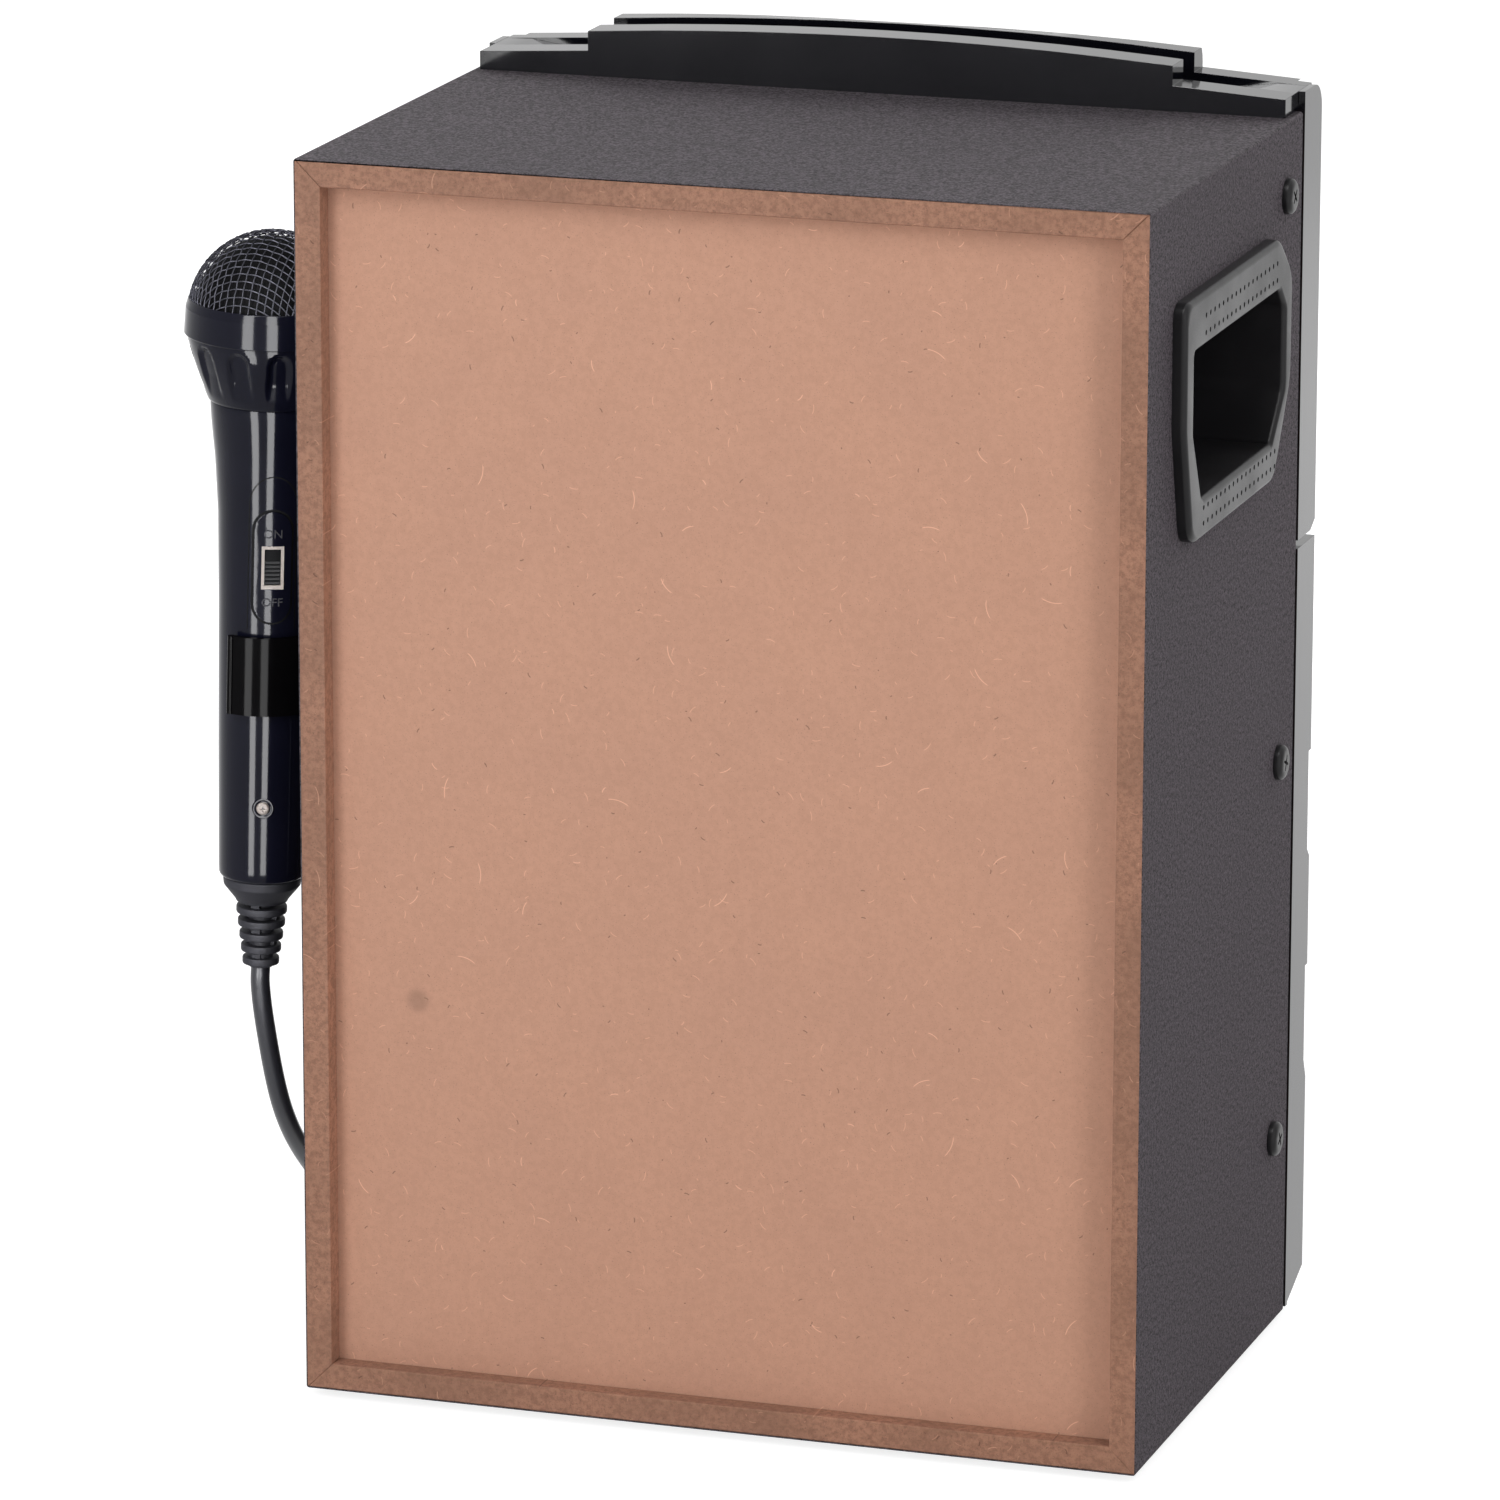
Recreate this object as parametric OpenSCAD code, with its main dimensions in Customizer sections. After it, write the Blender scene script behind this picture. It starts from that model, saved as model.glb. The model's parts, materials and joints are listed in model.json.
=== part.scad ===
// Karaoke machine with a disc tray: a wrapped fibreboard box with a moulded front,
// a tablet cradle on top, two speakers, a disc loader and a corded microphone.
// The origin is the middle of the box's underside; the front faces -Y and +Z is up.
// Millimetres throughout. Left and right are as seen from the front.

/* [Cabinet] */
// Width of the box over its wrap
cab_w = 300; // [292:2:340]
// Depth of the box, without the moulded front
cab_d = 192; // [188:2:230]
// Height of the box over its wrap
cab_h = 435; // [432:1:470]
// Thickness of the fibreboard
board_t = 9; // [8:0.5:11]
// Thickness of the grained wrap on the outside
wrap_t = 0.4; // [0.3:0.1:0.8]
// Thickness of the back panel
back_t = 6; // [4:0.5:8]
// How far the back panel lies inside the rear edges
back_recess = 8; // [5:0.5:12]
// Depth of the groove that holds the back panel
groove_depth = 4; // [3:0.5:5]
// Height of the rubber feet
foot_h = 3; // [2:0.5:6]
// Diameter of the rubber feet
foot_d = 22; // [16:1:30]
// Distance of a foot's centre from the sides of the box
foot_inset = 32; // [26:1:44]

/* [Moulded front] */
// Depth of the moulded front, from the shadow gap forwards
fascia_d = 23; // [21:0.5:28]
// Width of the shadow gap between the box and the front
shadow_gap = 3; // [2:0.5:4]
// Wall of the moulded front
fascia_wall = 2.5; // [2:0.25:3]
// Height of the front above the top of the box
fascia_rise = 6.5; // [5.5:0.5:8]
// Radius of the top front edge
top_edge_r = 9; // [6:0.5:10]
// Height of the screen part below the top of the box
upper_h = 153; // [150:1:156]
// Gap between the two parts of the front
seam_gap = 3; // [2:0.5:4]
// Depth of the recessed bands in the lower front
band_step = 3; // [2:0.25:3.5]
// Height of the recessed step beside the speaker panel
cheek_step_h = 35; // [28:1:42]
// Width of the recessed speaker panel
speaker_panel_w = 256; // [254:1:270]
// Length of the collar that enters the box
spigot_len = 30; // [26:1:36]
// Diameter of the screw heads on the sides
screw_head_d = 12.5; // [10:0.5:13]
// Height of the screw heads on the sides
screw_head_h = 3.2; // [2.5:0.1:4]

/* [Grip cups] */
// Length of a cup's rim from rear to front
cup_len = 136; // [132:1:140]
// Height of a cup's rim
cup_h = 84; // [82:1:88]
// How far the rim stands out of the side
cup_rim_t = 5; // [3:0.5:6]
// Distance from the rear edge of the box to the rim
cup_from_rear = 28; // [22:1:32]
// Distance from the top of the box to the rim
cup_from_top = 36; // [30:1:42]
// Depth of the finger space inside the box
cup_depth = 42; // [36:1:48]
// Wall of the cup
cup_wall = 2; // [1.5:0.25:2.5]

/* [Tablet cradle] */
// Depth of the rear wall
cradle_rear_t = 13.5; // [11:0.5:15]
// Width of the slot for the tablet
slot_w = 14.5; // [12:0.5:16]
// Height of the cradle at its ends
cradle_end_h = 6.5; // [5:0.5:8]
// Height of the low part where it meets the step
cradle_low_h = 9; // [8:0.5:11]
// Height at the step of the raised part
cradle_step_h = 16; // [14:0.5:18]
// Height in the middle of the raised part
cradle_mid_h = 20; // [18.5:0.5:23]
// Width of the raised part
cradle_raised_w = 214; // [200:1:230]
// Inset of the cradle's ends from the sides
cradle_inset = 2.5; // [2:0.25:4]

/* [Screen] */
// Width of the window over the display
window_w = 156; // [150:1:160]
// Height of the window over the display
window_h = 88; // [84:1:94]
// Border of the lens around the window
lens_border = 15; // [10:1:18]
// Thickness of the lens
lens_t = 1.5; // [1:0.25:1.75]
// Thickness of the display module
lcd_t = 6; // [5:0.5:9]

/* [Speakers] */
// Distance between the speaker centres
speaker_pitch = 140; // [130:1:148]
// Outer diameter of a speaker frame
speaker_d = 102; // [98:1:104]
// Outer diameter of a cone
cone_d = 76; // [70:1:78]
// Depth of a cone
cone_depth = 20; // [16:1:22]
// Diameter of a magnet
magnet_d = 60; // [50:1:66]
// Thickness of a magnet
magnet_t = 12; // [9:1:15]
// Diameter of a holed grille disc
grille_d = 91; // [88:1:93]
// Width of the light ring around a grille
ring_w = 4; // [3:0.25:5]
// Diameter of the holes in a grille
hole_d = 4.5; // [3.5:0.25:5.5]

/* [Disc loader] */
// Travel of the disc tray
tray_travel = 130; // [120:1:132]
// Width of the disc tray
tray_w = 130; // [128:1:134]
// Length of the disc tray
tray_len = 158; // [156:1:162]
// Thickness of the disc tray
tray_t = 6; // [5:0.25:7]
// Diameter of the disc seat
disc_seat_d = 121; // [120.5:0.25:123]
// Width of the tray's front bezel
bezel_w = 150; // [146:1:156]
// Height of the tray's front bezel
bezel_h = 17; // [15:0.5:18]
// Teeth of the tray gear
gear_teeth = 24; // [22:1:26]
// Gear module of the rack and its gear
gear_module = 1; // [0.9:0.05:1.1]
// Travel of the pickup
pickup_travel = 33; // [28:1:34]

/* [Controls] */
// Diameter of the three knobs
knob_d = 26; // [20:1:30]
// Height of the knobs above the front
knob_h = 15; // [12:0.5:18]
// Distance between the knobs
knob_pitch = 90; // [60:1:95]
// Diameter of the track buttons
button_d = 14; // [12:0.5:16]
// Diameter of the play button
play_d = 20; // [18:0.5:24]
// Distance between the buttons
button_pitch = 44; // [34:1:48]
// Height of a button above the front
button_proud = 2.5; // [1.5:0.25:3.5]
// Travel of a button
button_travel = 1; // [0.6:0.1:1]
// Diameter of the power button
power_d = 12; // [10:0.5:14]
// Radius of the microphone sockets
mic_jack_r = 3.2; // [3.2:0.05:3.4]
// Radius of the line socket
line_jack_r = 1.8; // [1.8:0.05:2]

/* [Microphone] */
// Radius of the ball-shaped grille
ball_r = 29.8; // [28:0.1:32]
// Radius of the handle at its foot
handle_foot_r = 15.4; // [14.5:0.1:16]
// Length of the handle up to the collar
handle_len = 172; // [160:1:176]
// Height of the collar between handle and ball
collar_h = 36; // [32:1:40]
// Lean of the microphone towards the box, in degrees
mic_lean = 1.8; // [0:0.1:3]
// Inner radius of the clip
clip_r = 18.2; // [18.1:0.1:19]
// Wall of the clip
clip_wall = 2; // [1.5:0.25:3]
// Height of the clip
clip_h = 28; // [20:1:32]
// Angle from the clip's mouth to each of its tips, in degrees
clip_tip_angle = 75; // [74:1:80]
// Travel of the microphone out of its clip
mic_pull = 80; // [50:1:100]
// Diameter of the microphone cord
cord_d = 7; // [6:0.25:7]
// Length of the strain relief
relief_len = 34; // [30:1:38]
// Radius of the plug's shaft
plug_r = 3.15; // [3.1:0.05:3.2]

/* [Hidden] */
$fn = 64;

e = 0.01;           // makes a cut pass through a face
fit = 0.1;          // gap between fixed pieces
run_gap = 0.3;      // gap between pieces that move past each other
shaft_gap = 0.05;   // radial gap of a shaft in its hole

// Box
half_w = cab_w / 2;
rear_y = cab_d / 2;
mouth_y = -cab_d / 2;
top_z = cab_h;
in_x = half_w - wrap_t - board_t;
in_top = top_z - wrap_t - board_t;
in_floor = wrap_t + board_t;
panel_y = rear_y - back_recess - back_t;

// Moulded front
skirt_y = mouth_y - shadow_gap;
front_y = skirt_y - fascia_d;
band_y = front_y + band_step;
wall_y = front_y + fascia_wall;
band_wall_y = band_y + fascia_wall;
spigot_y = mouth_y + spigot_len;
spigot_x = in_x - run_gap;
upper_bottom = top_z - upper_h;
lower_top = upper_bottom - seam_gap;
lower_bottom = 0.5;
lip_drop = 9;
deck_h = 78;         // control deck
socket_h = 36;       // recessed band with the sockets
ramp_h = 3;
cheek_ramp_h = 7;
ramp_inset = 1;      // keeps the wall's thickness on a ramp
knob_band_h = 40;    // full band with the knobs
deck_bottom = lower_top - deck_h;
socket_bottom = deck_bottom - socket_h;
knob_band_top = socket_bottom - ramp_h;
knob_band_bottom = knob_band_top - knob_band_h;
cheek_ramp_top = knob_band_bottom - cheek_step_h;
cheek_top = cheek_ramp_top - cheek_ramp_h;
lip_z = lower_bottom + lip_drop;
tray_z = lower_top - 17;
button_z = lower_top - 49;
socket_z = (deck_bottom + socket_bottom) / 2;
knob_z = (knob_band_top + knob_band_bottom) / 2;
speaker_z = (knob_band_bottom + lip_z) / 2;

// Side screws, measured from the top of the box; the first holds the upper part
screw_drops = [26, 227.5, 365];
screw_y = mouth_y + 20;
screw_shank_r = 2;
screw_len = board_t + 6;

// Grip cups
cup_rear = rear_y - cup_from_rear;
cup_top = top_z - cup_from_top;
cup_rim_r = 7;
cup_mouth_r = 4;

// Tablet cradle
cradle_rear_y = mouth_y + 14;
slot_y = cradle_rear_y - cradle_rear_t;
cradle_front_y = slot_y - slot_w;
cradle_nose_y = front_y + 1;
cradle_half_w = half_w - cradle_inset;
cradle_tongue_y = front_y + 5;
slot_floor = 2;
slot_end = 10;
slot_ramp = 20;
nose_r = 9;

// Screen
screen_z = top_z - 75;
lens_pocket = lens_t;
front_wall_t = 3.5;
lens_w = window_w + 2 * lens_border;
lens_h = window_h + 2 * lens_border;

// Speakers
speaker_x = [-speaker_pitch / 2, speaker_pitch / 2];
basket_t = 1.2;
gasket_t = 0.8;
roll_r = 3.1;
roll_t = 0.8;
cone_t = 0.8;
coil_r = 10.2;
surround_in_r = cone_d / 2 + run_gap;
surround_out_r = surround_in_r + 2 * roll_r;
speaker_hole_r = cone_d / 2 + 3;
neck_s = cone_depth + 6;
basket_shoulder = 6;
plate_t = 4;
grille_t = 0.8;
grille_pocket = 1;
ring_pocket = 1.2;
ring_proud = 0.4;
ring_in_r = grille_d / 2 + 0.6;
hole_pitch = 2 * hole_d;

// Disc loader; heights are from the underside of the tray
tray_y = front_y + 5;
tray_rear = tray_y + tray_len;
disc_y = tray_y + 6 + disc_seat_d / 2;
seat_depth = 3;
pivot_y = disc_y + 104;
slot_half = 19;
rack_w = 4;
rack_h = 4;
rack_x = -tray_w / 2 + 4;
gear_r = gear_module * gear_teeth / 2;
gear_x = rack_x + rack_w + gear_module + gear_r;
gear_y = front_y + 27;
gear_t = 3;
backlash = 0.25;
pulley_r = 15;
pulley_t = 4;
motor_pulley_r = 4;
motor_x = gear_x + 36;
motor_y = gear_y + 3;
motor_r = 10;
motor_h = 15;
motor_shaft_r = 1;
belt_t = 1;
chassis_floor = -14;
chassis_t = 2;
chassis_wall = 2.5;
chassis_in = tray_w / 2 + run_gap;
chassis_x = chassis_in + chassis_wall;
chassis_y = front_y + 8;
chassis_rear = pivot_y + 8;
bay_half = 42;
bay_front = disc_y - 26;
bay_rear = pivot_y + 4;
ledge_w = 1.5;
bridge_h = 13;
bridge_t = 2;
bridge_w = 34;
puck_r = 15;
puck_neck_r = 11;
bracket_t = 1.2;
bracket_drop = 5;
below = 20;          // reach of a cut below the loader's floor
gear_post_r = 2.5;
gear_hub_h = 1.5;
pulley_groove = 1.2;
belt_h = 1.4;
belt_z = -gear_t - gear_hub_h - pulley_t / 2;
pillar_gap = 5;
pillar_t = 4;

// Traverse
traverse_z = -11;
traverse_t = 2;
traverse_half = 38;
traverse_front = disc_y - 22;
pivot_r = 2;
table_r = 14.5;
table_z = seat_depth + 1.5;
cone_tip_r = 7.4;
spin_motor_r = 12;
spin_motor_h = 10;
sled_y = disc_y + 23;
sled_half = 26;
sled_len = 20;
rod_r = 1.5;
rod_x = 19;
rod_z = -6.5;
screw_x = 29;
lead_r = 1.5;
lead_pitch = 3;
rod_front = disc_y + 12;
rod_rear = rod_front + pickup_travel + sled_len + 12;
well_half = 14;      // opening in the traverse under the pickup
well_front = disc_y + 8;
post_t = 4;
post_half = 3;
post_top = rod_z + 2.5;
motor_shaft_h = spin_motor_h + traverse_t + 7;
spindle_r = 1.5;
table_t = 1.5;

// Controls
button_flange = 1.5;
button_flange_t = 2;
stem_r = 2;
switch_h = 4.3;
control_gap = 11.5;
control_y = wall_y + control_gap;
board_pcb_t = 1.6;
post_x = 92;
post_z = 11;
post_r = 3;
power_x = -75;
mic_jack_x = [60, 95];
line_jack_x = 25;
usb_x = -15;
dc_x = -110;
usb_w = 13;
usb_h = 5.5;
socket_gap = 22;     // from the wall to the socket board
socket_y = band_wall_y + socket_gap;
socket_board_half = 124;
socket_board_rise = 14;
pot_shaft_r = 3;
knob_gap = 0.4;

// Microphone; heights run up its axis from the foot of the handle
mic_foot = [half_w + 45, 20, 128];   // where the cord enters the strain relief
clip_mid = 76.5;
clip_play = 0.3;
mic_at_clip_r = 17;
clip_offset = clip_r - mic_at_clip_r - clip_play;
clip_z = mic_foot[2] + (relief_len + clip_mid) * cos(mic_lean);
clip_x = mic_foot[0] - (relief_len + clip_mid) * sin(mic_lean) + clip_offset;
clip_bead_r = clip_wall / 2 + 0.4;
clip_arm_w = 16;
clip_arm_h = 22;
clip_base_w = 28;
clip_base_h = 48;
clip_base_t = 3;
collar_z = handle_len;
ball_seat = 6;                        // how far the ball's middle lies under the collar's top
ball_h = collar_z + collar_h - ball_seat;
handle_wall = 2;
switch_drop = 56;                     // from the collar down to the switch's middle
switch_mid = handle_len - switch_drop;
switch_turn = 26;                     // how far the switch looks towards the box, in degrees
switch_travel = 4;

// Cord, from the strain relief to the coil on the floor in front; x runs out from the side of the box
cord_r = cord_d / 2;
cord_floor = cord_r + 0.25 - foot_h;
cord_route = [for (p = [
    [45, 20, 128], [45.2, 20, 121], [44.5, 18, 107], [43.8, 10, 83], [43.6, 0, 66],
    [43.5, -15, 50], [43.4, -35, 34], [43.4, -60, 18], [43.6, -85, 6.5],
    [44, -110, 1.5], [44, -130, cord_floor], [44, -176, cord_floor], [44, -183, cord_floor]])
    p + [half_w, 0, 0]];
coil_mid = [half_w - 9, -190];
coil_in_r = 22;
coil_pitch = 7.75;
coil_half_loops = 4;
coil_loops = 8.25;
coil_tail = 34;
plug_body_r = 7;
plug_z = plug_body_r + 0.2 - foot_h;

// ---------- helpers ----------

// A disc or ring on an axis along Y, from y0 backwards over a length
module round_y(x, z, y0, len, r) translate([x, y0, z]) rotate([-90, 0, 0]) cylinder(r = r, h = len);

// Extrudes a front view (x, z) from y0 backwards over a length
module plate_y(y0, len) translate([0, y0 + len, 0]) rotate([90, 0, 0]) linear_extrude(len) children();

// Extrudes a side view (y, z) over a width centred on x = 0
module across(w) translate([-w / 2, 0, 0]) rotate([90, 0, 90]) linear_extrude(w) children();

// A box from one corner to the opposite one
module block(a, b) translate(a) cube(b - a);

module mirrored() { children(); mirror([1, 0, 0]) children(); }

function involute(base_r, a) = base_r * [cos(a) + a * PI / 180 * sin(a), sin(a) - a * PI / 180 * cos(a)];
function turned(p, a) = [p[0] * cos(a) - p[1] * sin(a), p[0] * sin(a) + p[1] * cos(a)];
function polar_r(p) = sqrt(p[0] * p[0] + p[1] * p[1]);

// ---------- box ----------

module wrap_side(len) {
    // One mitred board as seen from the front, with its outer face on the x axis
    polygon([[-len / 2, 0], [len / 2, 0], [len / 2 - board_t, -board_t], [-len / 2 + board_t, -board_t]]);
}

module board(len) {
    difference() {
        translate([0, cab_d / 2, 0]) rotate([90, 0, 0]) linear_extrude(cab_d) wrap_side(len);
        block([-len / 2, panel_y - fit, -board_t - e],
            [len / 2, panel_y + back_t + fit, groove_depth - board_t]);
    }
}

module side_board() {
    translate([half_w - wrap_t, 0, cab_h / 2]) rotate([0, 90, 0]) board(cab_h - 2 * wrap_t);
}

module cup_hole() {
    translate([half_w, 0, 0]) cup_prism(-board_t - 2 * wrap_t, e, cup_wall + fit) cup_mouth();
}

module screw_holes(r, drops) {
    for (d = drops)
        translate([half_w + e, screw_y, top_z - d]) rotate([0, -90, 0])
            cylinder(r = r, h = board_t + 4 * wrap_t);
}

module side_panel_right() color([0.66, 0.49, 0.40]) difference() {
    side_board();
    cup_hole();
    screw_holes(screw_shank_r + shaft_gap, screw_drops);
}

module side_panel_left() mirror([1, 0, 0]) side_panel_right();

module top_panel() color([0.68, 0.50, 0.41])
    translate([0, 0, top_z - wrap_t]) board(cab_w - 2 * wrap_t);

module bottom_panel() color([0.64, 0.48, 0.40])
    translate([0, 0, wrap_t]) rotate([0, 180, 0]) board(cab_w - 2 * wrap_t);

module vinyl_wrap() color([0.27, 0.26, 0.27]) difference() {
    plate_y(mouth_y, cab_d) difference() {
        translate([-half_w, 0]) square([cab_w, cab_h]);
        translate([-half_w + wrap_t, wrap_t]) square([cab_w - 2 * wrap_t, cab_h - 2 * wrap_t]);
    }
    mirrored() {
        cup_hole();
        screw_holes(screw_shank_r + shaft_gap, screw_drops);
    }
}

module back_panel() color([0.76, 0.58, 0.48]) {
    w = in_x + groove_depth - fit;
    block([-w, panel_y, in_floor - groove_depth + fit], [w, panel_y + back_t, in_top + groove_depth - fit]);
}

module rubber_feet() color([0.08, 0.08, 0.08])
    for (x = [-1, 1], y = [-1, 1])
        translate([x * (half_w - foot_inset), y * (rear_y - foot_inset), -foot_h])
            cylinder(d = foot_d, h = foot_h);

// ---------- grip cups ----------

// Rim and mouth as seen from the side: u runs forwards from the rim's rear end, v down from its top
module cup_outline(points, r) {
    offset(r = r) offset(delta = -r) polygon([for (p = points) [cup_rear - p[0], cup_top - p[1]]]);
}

module cup_rim() cup_outline([
    [0, 0], [cup_len - 18, 0], [cup_len, 16], [cup_len - 1, 60], [cup_len - 22, cup_h],
    [10, cup_h], [0, 48]], cup_rim_r);

module cup_mouth() cup_outline([
    [10.5, 18], [cup_len - 16, 18], [cup_len - 9, 25], [cup_len - 9, 54], [cup_len - 25, cup_h - 14],
    [21, cup_h - 14], [10.5, 54]], cup_mouth_r);

// Extrudes a side view along x, from one offset to another, grown by a margin
module cup_prism(x0, x1, grow) translate([x0, 0, 0]) rotate([90, 0, 90]) linear_extrude(x1 - x0)
    offset(r = grow) children();

module grip_cup_right() color([0.20, 0.20, 0.21]) translate([half_w, 0, 0]) difference() {
    union() {
        cup_prism(0, cup_rim_t, 0) cup_rim();
        cup_prism(-cup_depth, e, cup_wall) cup_mouth();
    }
    cup_prism(cup_wall - cup_depth, cup_rim_t + e, 0) cup_mouth();
}

module grip_cup_left() mirror([1, 0, 0]) grip_cup_right();

// ---------- moulded front ----------

// Side views (y, z) of the two parts, from their rear edge round the front
function lower_steps() = [
    [front_y, lower_top], [front_y, deck_bottom], [band_y, deck_bottom], [band_y, socket_bottom],
    [front_y, knob_band_top], [front_y, knob_band_bottom], [band_y, knob_band_bottom],
    [band_y, cheek_ramp_top], [front_y, cheek_top], [front_y, lip_z]];

function rounded_top(r, grow) = [for (a = [90:15:180])
    [front_y + top_edge_r + (r - grow) * cos(a), top_z + fascia_rise - top_edge_r + (r - grow) * sin(a)]];

module upper_profile(grow) {
    polygon(concat([[skirt_y, top_z + fascia_rise - grow]], rounded_top(top_edge_r, grow),
        [[front_y + grow, upper_bottom + 3], [front_y + grow * 2 + 6, upper_bottom + grow],
         [skirt_y, upper_bottom + grow]]));
}

module collar(z0, z1, open_below, open_above) {
    // The ring that joins the skirt to the box: a shoulder plate and a collar inside the mouth
    low = open_below ? z0 - e : z0 + fascia_wall;
    high = open_above ? z1 + e : z1 - fascia_wall;
    difference() {
        block([-spigot_x, skirt_y - fascia_wall, z0], [spigot_x, spigot_y, z1]);
        block([-spigot_x + fascia_wall, skirt_y - fascia_wall - e, low],
            [spigot_x - fascia_wall, spigot_y + e, high]);
    }
}

module fascia_pilots(drops) mirrored()
    for (d = drops)
        translate([half_w, screw_y, top_z - d]) rotate([0, -90, 0])
            cylinder(r = screw_shank_r + shaft_gap, h = board_t + 8);

module upper_fascia() color([0.10, 0.10, 0.11]) difference() {
    union() {
        difference() {
            across(cab_w) upper_profile(0);
            across(cab_w - 2 * fascia_wall) upper_profile(fascia_wall);
            block([-cab_w, skirt_y - fascia_wall, 0], [cab_w, skirt_y + e, top_z + 50]);
        }
        plate_y(front_y + 2, front_wall_t - 2) translate([-half_w + 1, upper_bottom + 8])
            square([cab_w - 2, upper_h - 20]);
        difference() {
            plate_y(skirt_y - fascia_wall, fascia_wall) translate([-half_w, upper_bottom])
                square([cab_w, upper_h + fascia_rise]);
            block([-spigot_x + fascia_wall, skirt_y - 10, upper_bottom - e],
                [spigot_x - fascia_wall, skirt_y + e, in_top - run_gap - fascia_wall]);
        }
        collar(upper_bottom, in_top - run_gap, true, false);
    }
    // the notch that the cradle's tongue lies in
    block([-cradle_half_w - fit, cradle_tongue_y - fit, top_z + slot_floor - fit],
        [cradle_half_w + fit, skirt_y + e, top_z + 50]);
    plate_y(front_y - e, lens_pocket + e) translate([-lens_w / 2 - fit, screen_z - lens_h / 2 - fit])
        square([lens_w + 2 * fit, lens_h + 2 * fit]);
    plate_y(front_y, front_wall_t + e) translate([-window_w / 2, screen_z - window_h / 2])
        square([window_w, window_h]);
    fascia_pilots([screw_drops[0]]);
}

module lower_fascia() color([0.10, 0.10, 0.11]) difference() {
    union() {
        difference() {
            across(cab_w) polygon(concat([[skirt_y, lower_top]], lower_steps(), [[skirt_y, lower_bottom]]));
            speaker_recess();
            lower_cavity();
        }
        difference() {
            plate_y(skirt_y - fascia_wall, fascia_wall) translate([-half_w, lower_bottom])
                square([cab_w, lower_top - lower_bottom]);
            block([-spigot_x + fascia_wall, skirt_y - 2 * fascia_wall, in_floor + run_gap + fascia_wall],
                [spigot_x - fascia_wall, skirt_y + e, lower_top + e]);
        }
        collar(in_floor + run_gap, lower_top, false, true);
        control_posts();
    }
    // tray opening
    plate_y(front_y - e, 10) translate([-bezel_w / 2 - 0.5, tray_z + 1 - bezel_h / 2 - 0.5])
        square([bezel_w + 1, bezel_h + 1]);
    for (i = [0:3]) round_y(button_x(i), button_z, front_y - e, 10, button_size(i) / 2 + run_gap);
    for (i = [-1:1]) round_y(i * knob_pitch, knob_z, front_y - e, 10, 4);
    round_y(power_x, socket_z, band_y - e, 5, power_d / 2 + run_gap);
    for (x = mic_jack_x) round_y(x, socket_z, band_y - e, 5, 4.7);
    round_y(line_jack_x, socket_z, band_y - e, 5, 3.2);
    round_y(dc_x, socket_z, band_y - e, 5, 4.2);
    plate_y(band_y - e, 5) translate([usb_x - usb_w / 2 - 0.5, socket_z - usb_h / 2 - 0.5])
        square([usb_w + 1, usb_h + 1]);
    for (x = speaker_x) {
        round_y(x, speaker_z, band_y - e, 5, speaker_hole_r);
        round_y(x, speaker_z, band_y - e, grille_pocket + e, grille_d / 2 + fit);
        difference() {
            round_y(x, speaker_z, band_y - e, ring_pocket + e, ring_in_r + ring_w + fit);
            round_y(x, speaker_z, band_y - 1, 5, ring_in_r - fit);
        }
    }
    fascia_pilots([screw_drops[1], screw_drops[2]]);
}

// The flat recess in front of the speakers, between the full-depth cheeks
module speaker_recess()
    block([-speaker_panel_w / 2, front_y - e, lip_z], [speaker_panel_w / 2, band_y, knob_band_bottom]);

// The hollow behind the front wall
module lower_cavity() {
    across(cab_w - 2 * fascia_wall) polygon([
        [skirt_y + e, lower_top - fascia_wall], [wall_y, lower_top - fascia_wall],
        [wall_y, deck_bottom + fascia_wall], [band_wall_y, deck_bottom + fascia_wall],
        [band_wall_y, socket_bottom + ramp_inset], [wall_y, knob_band_top + ramp_inset],
        [wall_y, knob_band_bottom + fascia_wall], [band_wall_y, knob_band_bottom + fascia_wall],
        [band_wall_y, lip_z + ramp_inset], [skirt_y + e, lower_bottom + fascia_wall + ramp_inset]]);
    mirrored() block([speaker_panel_w / 2 + fascia_wall, wall_y, lip_z + fascia_wall],
        [half_w - fascia_wall, band_wall_y + e, cheek_top - ramp_inset]);
}

// Posts behind the deck that carry the control board
module control_posts()
    for (x = [-1, 1], z = [-1, 1])
        round_y(x * post_x, button_z + z * post_z, wall_y - e, control_gap + e, post_r);

module fascia_screws() color([0.09, 0.09, 0.09]) mirrored()
    for (d = screw_drops)
        translate([half_w, screw_y, top_z - d]) rotate([0, 90, 0]) {
            cylinder(d1 = screw_head_d, d2 = screw_head_d - 3, h = screw_head_h);
            translate([0, 0, -screw_len]) cylinder(r = screw_shank_r, h = screw_len + e);
        }

// ---------- tablet cradle ----------

// Height of the raised part at x, a flat arc between its steps
function arch(x) = cradle_step_h + (cradle_mid_h - cradle_step_h) * (1 - pow(2 * x / cradle_raised_w, 2));

module cradle_low() polygon([
    [-cradle_half_w, 0], [cradle_half_w, 0], [cradle_half_w, cradle_end_h],
    [cradle_raised_w / 2, cradle_low_h], [-cradle_raised_w / 2, cradle_low_h],
    [-cradle_half_w, cradle_end_h]]);

module cradle_raised(step = cradle_raised_w / 24) polygon(concat(
    [[-cradle_raised_w / 2, 1], [cradle_raised_w / 2, 1]],
    [for (x = [cradle_raised_w / 2:-step:-cradle_raised_w / 2 - e]) [x, arch(x)]]));

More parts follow.
